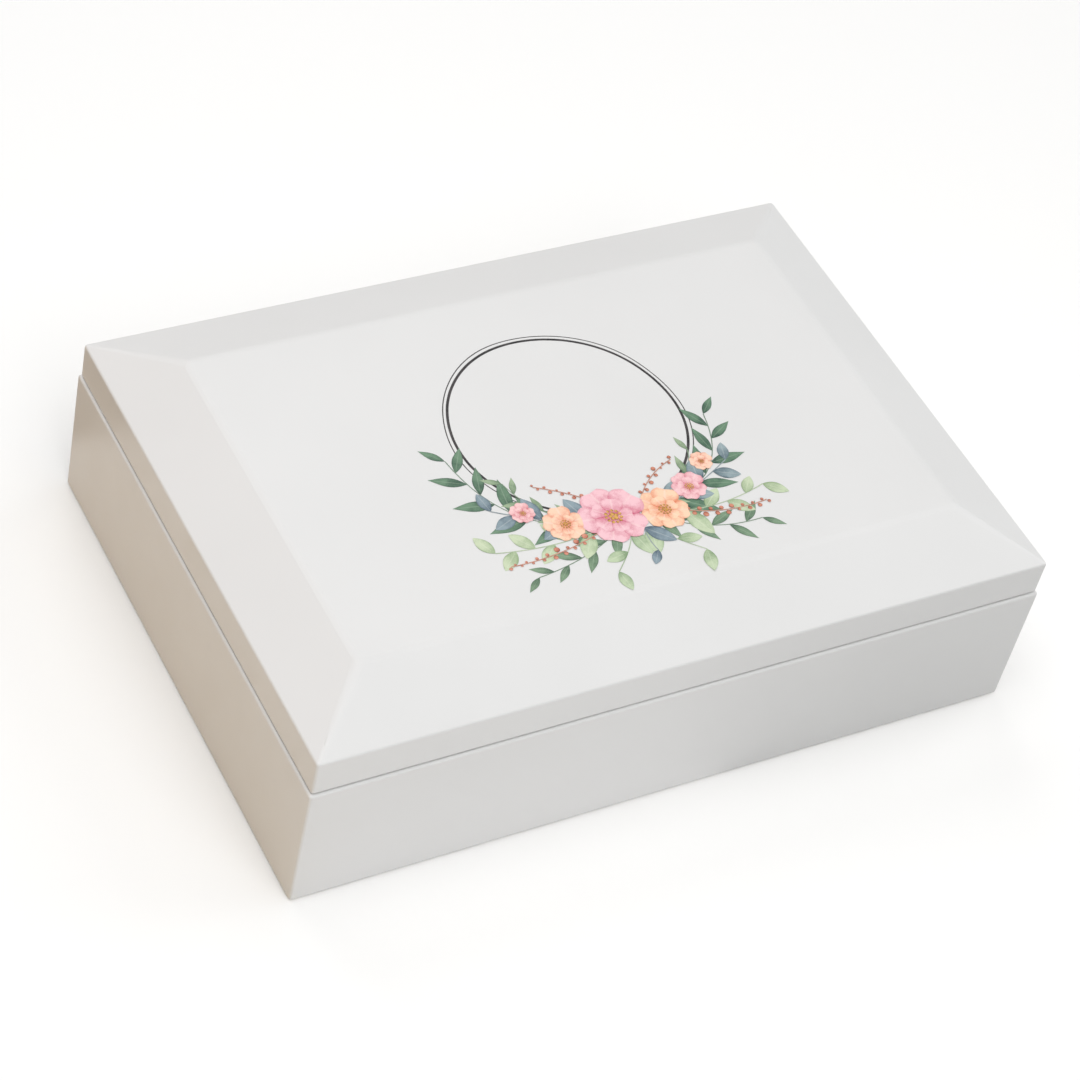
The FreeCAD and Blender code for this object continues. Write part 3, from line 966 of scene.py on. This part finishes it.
class GeometryTree(NodeGraph):
    """A geometry node tree with named inputs."""

    tube_sides = 6

    def __init__(self, name: str) -> None:
        """Start a tree.

        Args:
            name: The tree's name.
        """
        super().__init__(bpy.data.node_groups.new(name, "GeometryNodeTree"))
        for way in ("INPUT", "OUTPUT"):
            self.tree.interface.new_socket("Geometry", in_out=way, socket_type="NodeSocketGeometry")
        self.entry = self.add("NodeGroupInput")
        self.identifiers: dict[str, str] = {}

    def geometry(self) -> bpy.types.NodeSocket:
        """Give the geometry that comes in."""
        return self.entry.outputs["Geometry"]

    def input(self, name: str, kind: str) -> bpy.types.NodeSocket:
        """Add a named input.

        Args:
            name: The input's name.
            kind: Its socket's type, such as Float.

        Returns:
            The input's socket inside the tree.
        """
        socket = self.tree.interface.new_socket(name, in_out="INPUT", socket_type=f"NodeSocket{kind}")
        self.identifiers[name] = socket.identifier
        return self.entry.outputs[name]

    def named(self, attribute: str) -> bpy.types.NodeSocket:
        """Read a number that the points carry."""
        return self.add("GeometryNodeInputNamedAttribute", {"Name": attribute}).outputs["Attribute"]

    def random(self, low: float, high: float, seed: bpy.types.NodeSocket) -> bpy.types.NodeSocket:
        """Draw a number for each point.

        Args:
            low: The least number.
            high: The most.
            seed: The seed's socket.

        Returns:
            The number's socket.
        """
        return self.add("FunctionNodeRandomValue", {2: low, 3: high, "Seed": seed}).outputs[1]

    def shape_of(self, template: bpy.types.NodeSocket) -> bpy.types.NodeSocket:
        """Give the geometry of a template object."""
        return self.add("GeometryNodeObjectInfo", {"Object": template}).outputs["Geometry"]

    def upright(self, amount: object) -> bpy.types.NodeSocket:
        """Make an offset that points straight up."""
        return self.add("ShaderNodeCombineXYZ", {"Z": amount}).outputs[0]

    def turned(self, angle: object) -> bpy.types.NodeSocket:
        """Make a turn about the upright axis."""
        return self.add("FunctionNodeAxisAngleToRotation", {"Axis": (0, 0, 1), "Angle": angle}).outputs[0]

    def moved(self, geometry: bpy.types.NodeSocket, offset: bpy.types.NodeSocket) -> bpy.types.NodeSocket:
        """Move points by an offset."""
        return self.add("GeometryNodeSetPosition", {"Geometry": geometry, "Offset": offset}).outputs[0]

    def instances(self, points: object, shape: object, turn: object, scale: object) -> bpy.types.NodeSocket:
        """Set a shape on every point.

        Args:
            points: The points' socket.
            shape: The shape's socket.
            turn: Each one's rotation.
            scale: Each one's size.

        Returns:
            The instances' socket.
        """
        return self.add("GeometryNodeInstanceOnPoints", {
            "Points": points, "Instance": shape, "Rotation": turn, "Scale": scale,
        }).outputs[0]

    def tube(self, curve: object, radius: object, flatness: float) -> bpy.types.NodeSocket:
        """Lay a flattened tube with closed ends along curves.

        Args:
            curve: The curves' socket.
            radius: The tube's radius.
            flatness: The share of its height that is kept.

        Returns:
            The tube's socket.
        """
        outline = {"Resolution": self.tube_sides, "Radius": radius}
        profile = self.add("GeometryNodeCurvePrimitiveCircle", outline).outputs[0]
        sweep = {"Curve": curve, "Profile Curve": profile, "Fill Caps": True}
        tube = self.add("GeometryNodeCurveToMesh", sweep).outputs[0]
        squash = {"Geometry": tube, "Scale": (1.0, 1.0, flatness)}
        return self.add("GeometryNodeTransform", squash).outputs[0]

    def inked(self, geometry: bpy.types.NodeSocket, ink: bpy.types.NodeSocket) -> bpy.types.NodeSocket:
        """Make instances real and give them their ink.

        Args:
            geometry: The instances.
            ink: The material's socket.

        Returns:
            The inked geometry.
        """
        real = self.add("GeometryNodeRealizeInstances", {"Geometry": geometry}).outputs[0]
        return self.add("GeometryNodeSetMaterial", {"Geometry": real, "Material": ink}).outputs[0]

    def join(self, *parts: bpy.types.NodeSocket) -> bpy.types.NodeSocket:
        """Join geometries into one.

        Args:
            *parts: The geometries' sockets.

        Returns:
            The joined geometry's socket.
        """
        node = self.add("GeometryNodeJoinGeometry")
        for part in parts:
            self.tree.links.new(part, node.inputs[0])
        return node.outputs[0]

    def close(self, geometry: bpy.types.NodeSocket) -> None:
        """Send a geometry to the tree's output."""
        self.add("NodeGroupOutput", {"Geometry": geometry})

    def grow(self, host: bpy.types.Object, values: dict[str, object]) -> None:
        """Run the tree on an object and leave the plain mesh that it makes.

        Args:
            host: The object, which keeps its name.
            values: The value of each named input.
        """
        modifier = host.modifiers.new(self.tree.name, "NODES")
        modifier.node_group = self.tree
        for name, value in values.items():
            modifier[self.identifiers[name]] = value
        flatten_modifiers(host)


@dataclass(frozen=True)
class Blade:
    """The outline of a leaf or petal of unit length, thin and closed, which lies along +Y."""

    name: str
    half_width: float
    belly: float
    fullness: float
    notch: float = 0.0
    notch_sharpness: int = 6
    thickness: float = 0.004
    rows: int = 12
    columns: int = 6

    def width_at(self, along: float) -> float:
        """Give the half width at a share of the length."""
        return self.half_width * math.sin(math.pi * along ** self.belly) ** self.fullness

    def template(self) -> bpy.types.Object:
        """Build the blade, with its place along and across kept on its points.

        Returns:
            The template object.
        """
        shape = bmesh.new()
        along_layer = shape.verts.layers.float.new("along")
        across_layer = shape.verts.layers.float.new("across")

        def vertex(along: float, across: float, lift: float) -> bmesh.types.BMVert:
            """Place one point of the blade.

            Args:
                along: The share of the length.
                across: The share of the half width, from -1 to 1.
                lift: The height.

            Returns:
                The point.
            """
            dip = self.notch * (1 - across * across) * along ** self.notch_sharpness
            point = shape.verts.new((across * self.width_at(along), along - dip, lift))
            point[along_layer] = along
            point[across_layer] = abs(across)
            return point

        steps = [2 * column / self.columns - 1 for column in range(self.columns + 1)]
        base, tip = vertex(0.0, 0.0, 0.0), vertex(1.0, 0.0, 0.0)
        for sign in (1, -1):
            rows = []
            for row in range(1, self.rows):
                along = row / self.rows
                lifts = [sign * self.thickness / 2 * (1 - step * step) for step in steps]
                rows.append([vertex(along, step, lift) for step, lift in zip(steps, lifts)])
            for lower, upper in zip(rows, rows[1:]):
                for column in range(self.columns):
                    shape.faces.new([lower[column], lower[column + 1], upper[column + 1], upper[column]])
            for column in range(self.columns):
                shape.faces.new([base, rows[0][column + 1], rows[0][column]])
                shape.faces.new([tip, rows[-1][column], rows[-1][column + 1]])
        bmesh.ops.remove_doubles(shape, verts=shape.verts, dist=TOLERANCE)
        return link_bmesh(self.name, shape)


@dataclass(frozen=True)
class Bead:
    """A thin round blob of ink of unit radius on a short stalk along +Y."""

    name: str
    stalk: float
    thickness: float = 0.01
    middle_across: float = 0.3
    steps: int = 14

    def template(self) -> bpy.types.Object:
        """Build the blob, whose rim counts as its edge.

        Returns:
            The template object.
        """
        shape = bmesh.new()
        along_layer = shape.verts.layers.float.new("along")
        across_layer = shape.verts.layers.float.new("across")
        rim = []
        for step in range(self.steps):
            angle = 2 * math.pi * step / self.steps
            point = shape.verts.new((math.cos(angle), self.stalk + math.sin(angle), 0.0))
            point[along_layer] = (1 + math.sin(angle)) / 2
            point[across_layer] = 1.0
            rim.append(point)
        for sign in (1, -1):
            centre = shape.verts.new((0.0, self.stalk, sign * self.thickness / 2))
            centre[along_layer] = 0.5
            centre[across_layer] = self.middle_across
            for point, after in zip(rim, rim[1:] + rim[:1]):
                shape.faces.new([centre, point, after])
        return link_bmesh(self.name, shape)


@dataclass(frozen=True)
class Sprig:
    """A stem that bends once, with the size and tone of what grows on it, in millimetres on the lid."""

    start: Point
    bend: Point
    end: Point
    size: float
    tone: float

    def line(self, steps: int) -> list[Point]:
        """Sample the stem.

        Args:
            steps: How many steps it takes.

        Returns:
            Its points.
        """
        places = (self.start, self.bend, self.end)
        points = []
        for step in range(steps + 1):
            t = step / steps
            weights = ((1 - t) ** 2, 2 * t * (1 - t), t * t)
            points.append(tuple(
                sum(weight * place[axis] for weight, place in zip(weights, places)) for axis in range(2)
            ))
        return points


@dataclass(frozen=True)
class Foliage:
    """One kind of leaf or berry: its shape, its wash and its stems, in millimetres and radians."""

    name: str
    growth: Blade | Bead
    wash: Watercolour
    spacing: float
    lean: float
    taper: float
    uneven: float
    sprigs: tuple[Sprig, ...]


@dataclass(frozen=True)
class Blossom:
    """A five-petalled blossom, in millimetres and degrees on the lid."""

    centre: Point
    size: float
    turn: float
    tone: float


@dataclass
class LidPrint(SubAssembly):
    """The print on the lid's flat middle: a pen-drawn hoop with a garland of blossoms along its foot.

    Lengths are in millimetres; a blossom's own lengths are shares of its size.
    """

    ink_gap: float = 0.01
    ink_layer: float = 0.04
    ink_step: float = 0.004
    film: float = 0.15
    crease: float = 30.0

    hoop_centre: Point = (0.0, 4.0)
    hoop_radius: float = 36.0
    hoop_steps: int = 160
    hoop_flatness: float = 0.05
    line_width: float = 0.85
    waver: float = 1.6
    waver_scale: float = 22.0
    fine_line_gap: float = 1.5
    fine_line_share: float = 0.4
    fine_line_waver: float = 3.0

    stem_steps: int = 16
    stem_radius: float = 0.16
    stem_flatness: float = 0.1
    lean_chance: float = 0.25
    foliage: tuple[Foliage, ...] = (
        Foliage(
            "print_laurel", Blade("laurel_template", 0.155, 0.86, 1.15), LEAF_WASH,
            5.0, 0.7, 0.35, 0.16, (
                Sprig((-4, -34), (-37, -35), (-42, 1), 14.5, 0.05),
                Sprig((6, -33), (37, -34), (42, -4), 14.5, 0.0),
                Sprig((-10, -33), (-26, -29), (-30, -12), 9.5, 0.75),
                Sprig((12, -32), (25, -29), (30, -16), 9.5, 0.8),
                Sprig((-2, -36), (-16, -46), (-36, -48), 12.0, 0.3),
                Sprig((8, -37), (20, -48), (38, -47), 12.0, 0.25),
            ),
        ),
        Foliage(
            "print_mint_leaves", Blade("mint_template", 0.25, 0.95, 0.85), MINT_WASH,
            6.0, 0.85, 0.3, 0.15, (
                Sprig((-8, -36), (-24, -40), (-44, -36), 11.0, 0.1),
                Sprig((10, -36), (26, -41), (45, -35), 11.0, 0.3),
                Sprig((-2, -40), (-5, -46), (-13, -53), 10.5, 0.8),
                Sprig((4, -40), (8, -46), (16, -53), 10.5, 0.6),
            ),
        ),
        Foliage(
            "print_blue_leaves", Blade("blue_template", 0.25, 0.95, 0.85), BLUE_WASH,
            6.5, 0.75, 0.35, 0.15, (
                Sprig((-12, -34), (-22, -31), (-38, -21), 10.5, 0.1),
                Sprig((14, -34), (24, -31), (39, -23), 10.5, 0.4),
                Sprig((2, -40), (1, -45), (2, -49), 10.0, 0.0),
            ),
        ),
        Foliage(
            "print_berries", Bead("berry_template", 1.5), BERRY_WASH,
            1.7, 1.1, 0.35, 0.4, (
                Sprig((-12, -38), (-27, -43), (-42, -42), 0.8, 0.2),
                Sprig((16, -37), (29, -43), (43, -41), 0.8, 0.6),
                Sprig((-6, -28), (-12, -21), (-22, -16), 0.7, 0.4),
                Sprig((8, -28), (14, -21), (23, -18), 0.7, 0.8),
            ),
        ),
    )

    petal: Blade = Blade("petal_template", 0.46, 1.5, 0.62, 0.12)
    stamen: Bead = Bead("stamen_template", 0.0)
    petals: int = 5
    stamens: int = 11
    petal_chance: float = 0.08
    petal_foot: float = 0.001
    petal_rise: float = 0.001
    inner_ring: float = 0.62
    inner_rise: float = 0.008
    heart: float = 0.2
    heart_middle: float = 0.4
    stamen_size: float = 0.045
    stamen_rise: float = 0.016
    middle_size: float = 0.06
    middle_rise: float = 0.02
    blossom_seed: int = 7
    blossom_layer: int = 6
    blossoms: tuple[Blossom, ...] = (
        Blossom((-4.5, -33.5), 11.5, 12.0, 0.0),
        Blossom((11.5, -35.5), 8.5, 40.0, 1.0),
        Blossom((-19.5, -32.0), 7.0, 65.0, 0.9),
        Blossom((23.0, -29.5), 6.0, 20.0, 0.1),
        Blossom((-29.5, -24.5), 4.2, 50.0, 0.2),
        Blossom((31.5, -21.5), 4.0, 5.0, 0.8),
    )

    def lift(self, piece: bpy.types.Object, layer: int) -> None:
        """Raise a flat print onto the lid and seat it.

        Args:
            piece: The print, drawn about the lid's middle at no height.
            layer: How many inks lie under it.
        """
        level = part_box("lid_top_panel")[1].z + (self.ink_gap + self.ink_layer * layer) * MM
        piece.data.transform(Matrix.Translation((0, 0, level)) @ Matrix.Diagonal((1, 1, self.film, 1)))
        smooth(piece, self.crease)
        self.seat(piece, Body.LID)

    def host(self, name: str, sprigs: Iterable[Sprig]) -> bpy.types.Object:
        """Draw stems as chains of edges, whose points carry their size and tone.

        Args:
            name: The object's name.
            sprigs: The stems.

        Returns:
            The object.
        """
        shape = bmesh.new()
        size_layer = shape.verts.layers.float.new("size")
        tone_layer = shape.verts.layers.float.new("tone")
        for sprig in sprigs:
            chain = []
            for x, y in sprig.line(self.stem_steps):
                point = shape.verts.new((x * MM, y * MM, 0.0))
                point[size_layer] = sprig.size * MM
                point[tone_layer] = sprig.tone
                chain.append(point)
            for point, after in zip(chain, chain[1:]):
                shape.edges.new((point, after))
        mesh = bpy.data.meshes.new(name)
        shape.to_mesh(mesh)
        shape.free()
        return link(name, mesh)

    @cached_property
    def sprig_tree(self) -> GeometryTree:
        """Build the tree that sets leaves along stems, on alternate sides.

        Returns:
            The tree.
        """
        tree = GeometryTree("leaves_along_stems")
        template = tree.input("Leaf", "Object")
        spacing = tree.input("Spacing", "Float")
        lean = tree.input("Lean", "Float")
        taper = tree.input("Taper", "Float")
        width = tree.input("Stem Width", "Float")
        step = tree.input("Ink Step", "Float")
        uneven = tree.input("Unevenness", "Float")
        seed = tree.input("Seed", "Int")
        ink = tree.input("Ink", "Material")
        stems = tree.add("GeometryNodeMeshToCurve", {"Mesh": tree.geometry()}).outputs[0]
        places = tree.add(
            "GeometryNodeResampleCurve", {"Curve": stems, "Length": spacing}, mode="LENGTH"
        ).outputs[0]
        index = tree.add("GeometryNodeInputIndex").outputs[0]
        raised = tree.moved(places, tree.upright(tree.math("MULTIPLY", index, step)))
        side = tree.math("SUBTRACT", tree.math("MULTIPLY", tree.math("MODULO", index, 2.0), 2.0), 1.0)
        chance = tree.math("MULTIPLY", uneven, tree.random(-1.0, 1.0, seed))
        share = tree.math("ADD", 1.0, chance)
        leaning = tree.random(1 - self.lean_chance, 1 + self.lean_chance, seed)
        angle = tree.math("MULTIPLY", side, tree.math("MULTIPLY", lean, leaning))
        tangent = tree.add("GeometryNodeInputTangent").outputs[0]
        along = tree.add("FunctionNodeAlignRotationToVector", {"Vector": tangent}, axis="Y").outputs[0]
        turns = {"Rotation": along, "Rotate By": tree.turned(angle)}
        turn = tree.add("FunctionNodeRotateRotation", turns, rotation_space="LOCAL").outputs[0]
        factor = tree.add("GeometryNodeSplineParameter").outputs["Factor"]
        shrink = tree.math("SUBTRACT", 1.0, tree.math("MULTIPLY", taper, factor))
        scale = tree.math("MULTIPLY", tree.named("size"), tree.math("MULTIPLY", shrink, share))
        leaves = tree.instances(raised, tree.shape_of(template), turn, scale)
        stem = tree.tube(stems, width, self.stem_flatness)
        tree.close(tree.inked(tree.join(stem, leaves), ink))
        return tree

    @cached_property
    def blossom_tree(self) -> GeometryTree:
        """Build the tree that sets two rings of petals and a ring of stamens on each blossom's place.

        Returns:
            The tree.
        """
        tree = GeometryTree("petals_and_stamens")
        petal = tree.input("Petal", "Object")
        bead = tree.input("Stamen", "Object")
        petals = tree.input("Petals", "Int")
        stamens = tree.input("Stamens", "Int")
        inner = tree.input("Inner Ring", "Float")
        heart = tree.input("Heart", "Float")
        seed = tree.input("Seed", "Int")
        petal_ink = tree.input("Petal Ink", "Material")
        stamen_ink = tree.input("Stamen Ink", "Material")
        index = tree.add("GeometryNodeInputIndex").outputs[0]

        def ring(
            count: object, radius: object, shape: object, scale: object, start: float, level: float
        ) -> bpy.types.NodeSocket:
            """Set one shape round a circle, each a little above the last.

            Args:
                count: How many there are.
                radius: The circle's radius.
                shape: The shape's socket.
                scale: The shape's size.
                start: Where the first one stands, as a share of a step.
                level: The first one's height.

            Returns:
                The ring's socket.
            """
            circle = tree.add("GeometryNodeMeshCircle", {"Vertices": count, "Radius": radius}).outputs[0]
            height = tree.math("MULTIPLY_ADD", index, self.petal_rise)
            height.node.inputs[2].default_value = level
            share = tree.math("DIVIDE", tree.math("ADD", index, start), count)
            sway = tree.random(-self.petal_chance, self.petal_chance, seed)
            angle = tree.math("ADD", tree.math("MULTIPLY", share, math.tau), sway)
            growth = tree.random(1 - self.petal_chance, 1 + self.petal_chance, seed)
            size = tree.math("MULTIPLY", scale, growth)
            return tree.instances(tree.moved(circle, tree.upright(height)), shape, tree.turned(angle), size)

        def planted(flower: object, ink: object) -> bpy.types.NodeSocket:
            """Set a whole ring on every blossom's place.

            Args:
                flower: The ring's socket.
                ink: The material's socket.

            Returns:
                The inked rings' socket.
            """
            turn = tree.turned(tree.named("turn"))
            real = tree.add("GeometryNodeRealizeInstances", {"Geometry": flower}).outputs[0]
            return tree.inked(tree.instances(tree.geometry(), real, turn, tree.named("size")), ink)

        petal_shape, bead_shape = tree.shape_of(petal), tree.shape_of(bead)
        outer_ring = ring(petals, self.petal_foot, petal_shape, 1.0, 0.0, 0.0)
        inner_ring = ring(petals, self.petal_foot, petal_shape, inner, 0.5, self.inner_rise)
        stamen_ring = ring(stamens, heart, bead_shape, self.stamen_size, 0.0, self.stamen_rise)
        middle = tree.math("MULTIPLY", heart, self.heart_middle)
        middle_ring = ring(petals, middle, bead_shape, self.middle_size, 0.3, self.middle_rise)
        tree.close(tree.join(
            planted(tree.join(outer_ring, inner_ring), petal_ink),
            planted(tree.join(stamen_ring, middle_ring), stamen_ink),
        ))
        return tree

    @cached_property
    def hoop_tree(self) -> GeometryTree:
        """Build the tree that draws a hoop with a pen that wavers.

        Returns:
            The tree.
        """
        tree = GeometryTree("pen_hoop")
        radius = tree.input("Radius", "Float")
        width = tree.input("Line Width", "Float")
        waver = tree.input("Waver", "Float")
        ink = tree.input("Ink", "Material")
        outline = {"Resolution": self.hoop_steps, "Radius": radius}
        circle = tree.add("GeometryNodeCurvePrimitiveCircle", outline).outputs[0]
        place = tree.add("GeometryNodeInputPosition").outputs[0]
        settings = {"Vector": place, "Scale": self.waver_scale, "Detail": 1.0}
        noise = tree.add("ShaderNodeTexNoise", settings).outputs["Color"]
        centring = {0: noise, 1: (0.5, 0.5, 0.5)}
        centred = tree.add("ShaderNodeVectorMath", centring, operation="SUBTRACT").outputs[0]
        scaled = tree.add("ShaderNodeVectorMath", {0: centred, "Scale": waver}, operation="SCALE").outputs[0]
        levelling = {0: scaled, 1: (1.0, 1.0, 0.0)}
        level = tree.add("ShaderNodeVectorMath", levelling, operation="MULTIPLY").outputs[0]
        tree.close(tree.inked(tree.tube(tree.moved(circle, level), width, self.hoop_flatness), ink))
        return tree

    def draw_hoop(self) -> None:
        """Draw the hoop as a broad and a fine line that nearly meet."""
        fine_radius = self.hoop_radius + self.fine_line_gap
        fine_width = self.line_width * self.fine_line_share
        lines = (
            (self.hoop_radius, self.line_width, self.waver),
            (fine_radius, fine_width, self.fine_line_waver),
        )
        for number, (radius, width, waver) in enumerate(lines, start=1):
            hoop = link(f"print_hoop_{number}", bpy.data.meshes.new("hoop"))
            self.hoop_tree.grow(hoop, {
                "Radius": radius * MM, "Line Width": width / 2 * MM, "Waver": waver * MM,
                "Ink": INK.material,
            })
            hoop.data.transform(Matrix.Translation((self.hoop_centre[0] * MM, self.hoop_centre[1] * MM, 0)))
            self.lift(hoop, 0)

    def grow_sprigs(self) -> None:
        """Grow every kind of leaf and the berries along their stems."""
        for number, kind in enumerate(self.foliage, start=1):
            piece = self.host(kind.name, kind.sprigs)
            leaf = kind.growth.template()
            self.sprig_tree.grow(piece, {
                "Leaf": leaf, "Spacing": kind.spacing * MM, "Lean": kind.lean, "Taper": kind.taper,
                "Stem Width": self.stem_radius * MM, "Ink Step": self.ink_step * MM,
                "Unevenness": kind.uneven, "Seed": number, "Ink": kind.wash.material,
            })
            bpy.data.objects.remove(leaf)
            self.lift(piece, number)

    def open_blossoms(self) -> None:
        """Open the blossoms over the leaves."""
        shape = bmesh.new()
        layers = {name: shape.verts.layers.float.new(name) for name in ("size", "turn", "tone")}
        for blossom in self.blossoms:
            point = shape.verts.new((blossom.centre[0] * MM, blossom.centre[1] * MM, 0.0))
            point[layers["size"]] = blossom.size * MM
            point[layers["turn"]] = math.radians(blossom.turn)
            point[layers["tone"]] = blossom.tone
        mesh = bpy.data.meshes.new("blossoms")
        shape.to_mesh(mesh)
        shape.free()
        piece = link("print_blossoms", mesh)
        petal, stamen = self.petal.template(), self.stamen.template()
        self.blossom_tree.grow(piece, {
            "Petal": petal, "Stamen": stamen, "Petals": self.petals, "Stamens": self.stamens,
            "Inner Ring": self.inner_ring, "Heart": self.heart, "Seed": self.blossom_seed,
            "Petal Ink": PETAL_WASH.material, "Stamen Ink": STAMEN_WASH.material,
        })
        for template in (petal, stamen):
            bpy.data.objects.remove(template)
        self.lift(piece, self.blossom_layer)

    def make(self) -> None:
        """Print the hoop, then the leaves and berries, then the blossoms."""
        self.draw_hoop()
        self.grow_sprigs()
        self.open_blossoms()


@dataclass
class Lid(SubAssembly):
    """The lid's rails and its bevelled top panel."""

    def dress(self) -> None:
        """Lacquer the boards."""
        self.dress_nodes([f"lid_{side.value}_rail" for side in Side] + ["lid_top_panel"], LACQUER)


@dataclass(frozen=True)
class Card:
    """A card by the floor, which stands in for it in the light that the box throws back or mirrors."""

    name: str
    outline: tuple[Point, ...]
    colour: Colour
    level: float
    seen_by: Rays = Rays.DIFFUSE


@dataclass(frozen=True)
class Softbox:
    """A square studio light."""

    name: str
    azimuth: float
    elevation: float
    distance: float
    side: float
    power: float
    colour: tuple[float, float, float]
    spares_floor: bool = False


def towards(azimuth: float, elevation: float) -> Vector:
    """Give the direction from the box to a viewer or a light.

    Args:
        azimuth: Degrees round the box; 0 is in front of it and 90 on its right.
        elevation: Degrees above the floor.

    Returns:
        The direction, of unit length.
    """
    turn, rise = math.radians(azimuth), math.radians(elevation)
    return Vector((math.sin(turn) * math.cos(rise), -math.cos(turn) * math.cos(rise), math.sin(rise)))


@dataclass
class Studio:
    """The floor, the lights and the camera."""

    floor_side: float = 12.0
    aim: tuple[float, float, float] = (-9.2 * MM, -9.08 * MM, 34.0 * MM)
    azimuth: float = -37.67
    elevation: float = 45.45
    roll: float = 14.69
    distance: float = 941.35 * MM
    lens: float = 105.59
    sensor: float = 36.0
    dome: float = 0.415
    cards: tuple[Card, ...] = (
        Card("even_card", ((-6, -6), (6, -6), (6, 6), (-6, 6)), (0.97, 0.96, 0.95, 1.0), -2 * MM),
        # Painted warm light: a beige card under the floor on the left throws warm light onto the box's left
        # face.
        Card(
            "left_card", ((-0.12, -0.085), (-0.12, 0.085), (-4, 4), (-4, -4)),
            (0.66, 0.54, 0.34, 1.0), -MM,
        ),
        # Painted shade: a grey card under the floor in front on the right throws back less light, darkening
        # the lower right of the front face.
        Card(
            "front_card", ((0.02, -0.085), (0, -1.5), (2, -1.5), (0.3, -0.085)),
            (0.58, 0.58, 0.57, 1.0), -MM,
        ),
        # Painted shadow: a near-black card that only reflections see stands in for a dark floor behind the
        # box, darkening the lacquer's reflection at the top back of the left face.
        Card(
            "back_card", ((-0.35, 0.1), (-0.121, 0.1), (-0.121, 0.4), (-0.35, 0.4)),
            (0.03, 0.025, 0.02, 1.0), 0.2 * MM, Rays.GLOSSY,
        ),
    )
    lights: tuple[Softbox, ...] = (
        Softbox("front_softbox", 0.0, 50.0, 2.0, 1.2, 10.4, (1.0, 1.0, 1.0)),
        Softbox("back_softbox", 180.0, 45.0, 2.0, 1.4, 7.9, (1.0, 1.0, 1.0)),
        Softbox("right_softbox", 90.0, 40.0, 2.0, 1.4, 7.2, (1.0, 1.0, 1.0)),
        Softbox("overhead_softbox", -60.0, 74.0, 0.95, 0.6, 2.8, (1.0, 1.0, 1.0)),
        Softbox("left_softbox", -110.0, 12.0, 0.9, 0.4, 0.44, (1.0, 0.32, 0.02), spares_floor=True),
    )

    def lay_floor(self) -> None:
        """Lay the pale floor."""
        half = self.floor_side / 2
        corners = [(-half, -half, 0), (half, -half, 0), (half, half, 0), (-half, half, 0)]
        mesh = bpy.data.meshes.new("floor")
        mesh.from_pydata(corners, [], [(0, 1, 2, 3)])
        floor = link("floor", mesh)
        mesh.materials.append(FLOOR.material)
        floor.visible_diffuse = floor.visible_shadow = False

    def lay_cards(self) -> None:
        """Lay the cards just under or on the floor, where only the box sees them."""
        for card in self.cards:
            mesh = bpy.data.meshes.new(card.name)
            mesh.from_pydata([(x, y, card.level) for x, y in card.outline], [], [range(len(card.outline))])
            mesh.materials.append(PaleFloor(card.name, card.colour).material)
            piece = link(card.name, mesh)
            piece.visible_camera = piece.visible_shadow = False
            piece.visible_diffuse = card.seen_by is Rays.DIFFUSE
            piece.visible_glossy = card.seen_by is Rays.GLOSSY

    def keep_off_floor(self, lamp: bpy.types.Object) -> None:
        """Let a light reach the box alone, with no patch on the floor and no mirror image in the lacquer.

        Args:
            lamp: The light.
        """
        spared = bpy.data.collections.new(f"spared_by_{lamp.name}")
        spared.objects.link(bpy.data.objects["floor"])
        spared.collection_objects[0].light_linking.link_state = "EXCLUDE"
        lamp.light_linking.receiver_collection = spared
        lamp.visible_glossy = False

    def hang_lights(self) -> None:
        """Hang the softboxes and fill the room with even light."""
        for light in self.lights:
            data = bpy.data.lights.new(light.name, "AREA")
            data.shape = "SQUARE"
            data.size = light.side
            data.energy = light.power
            data.color = light.colour
            lamp = bpy.data.objects.new(light.name, data)
            way = towards(light.azimuth, light.elevation)
            lamp.location = Vector(self.aim) + way * light.distance
            lamp.rotation_mode = "QUATERNION"
            lamp.rotation_quaternion = (-way).to_track_quat("-Z", "Y")
            bpy.context.scene.collection.objects.link(lamp)
            if light.spares_floor:
                self.keep_off_floor(lamp)
        world = bpy.data.worlds.new("studio")
        world.use_nodes = True
        world.node_tree.nodes["Background"].inputs["Color"].default_value = (1.0, 1.0, 1.0, 1.0)
        world.node_tree.nodes["Background"].inputs["Strength"].default_value = self.dome
        bpy.context.scene.world = world

    def stand_camera(self) -> None:
        """Stand the camera where the photograph was taken from."""
        data = bpy.data.cameras.new("camera")
        data.lens = self.lens
        data.sensor_width = self.sensor
        camera = bpy.data.objects.new("camera", data)
        way = towards(self.azimuth, self.elevation)
        camera.location = Vector(self.aim) + way * self.distance
        camera.rotation_mode = "QUATERNION"
        level = (-way).to_track_quat("-Z", "Y")
        camera.rotation_quaternion = level @ Quaternion((0, 0, 1), math.radians(self.roll))
        bpy.context.scene.collection.objects.link(camera)
        bpy.context.scene.camera = camera
        bpy.context.scene.view_settings.view_transform = "Standard"


def main() -> None:
    """Build and dress every sub-assembly in order."""
    logging.basicConfig(level=logging.INFO, format="%(message)s")
    case = Case()
    case.dress()
    case.make_felt()
    Lid().dress()
    LidPrint().make()
    Hinges().dress()
    Partitions().make()
    Upholstery().make()
    studio = Studio()
    studio.lay_floor()
    studio.lay_cards()
    studio.hang_lights()
    studio.stand_camera()


if __name__ == "__main__":
    main()
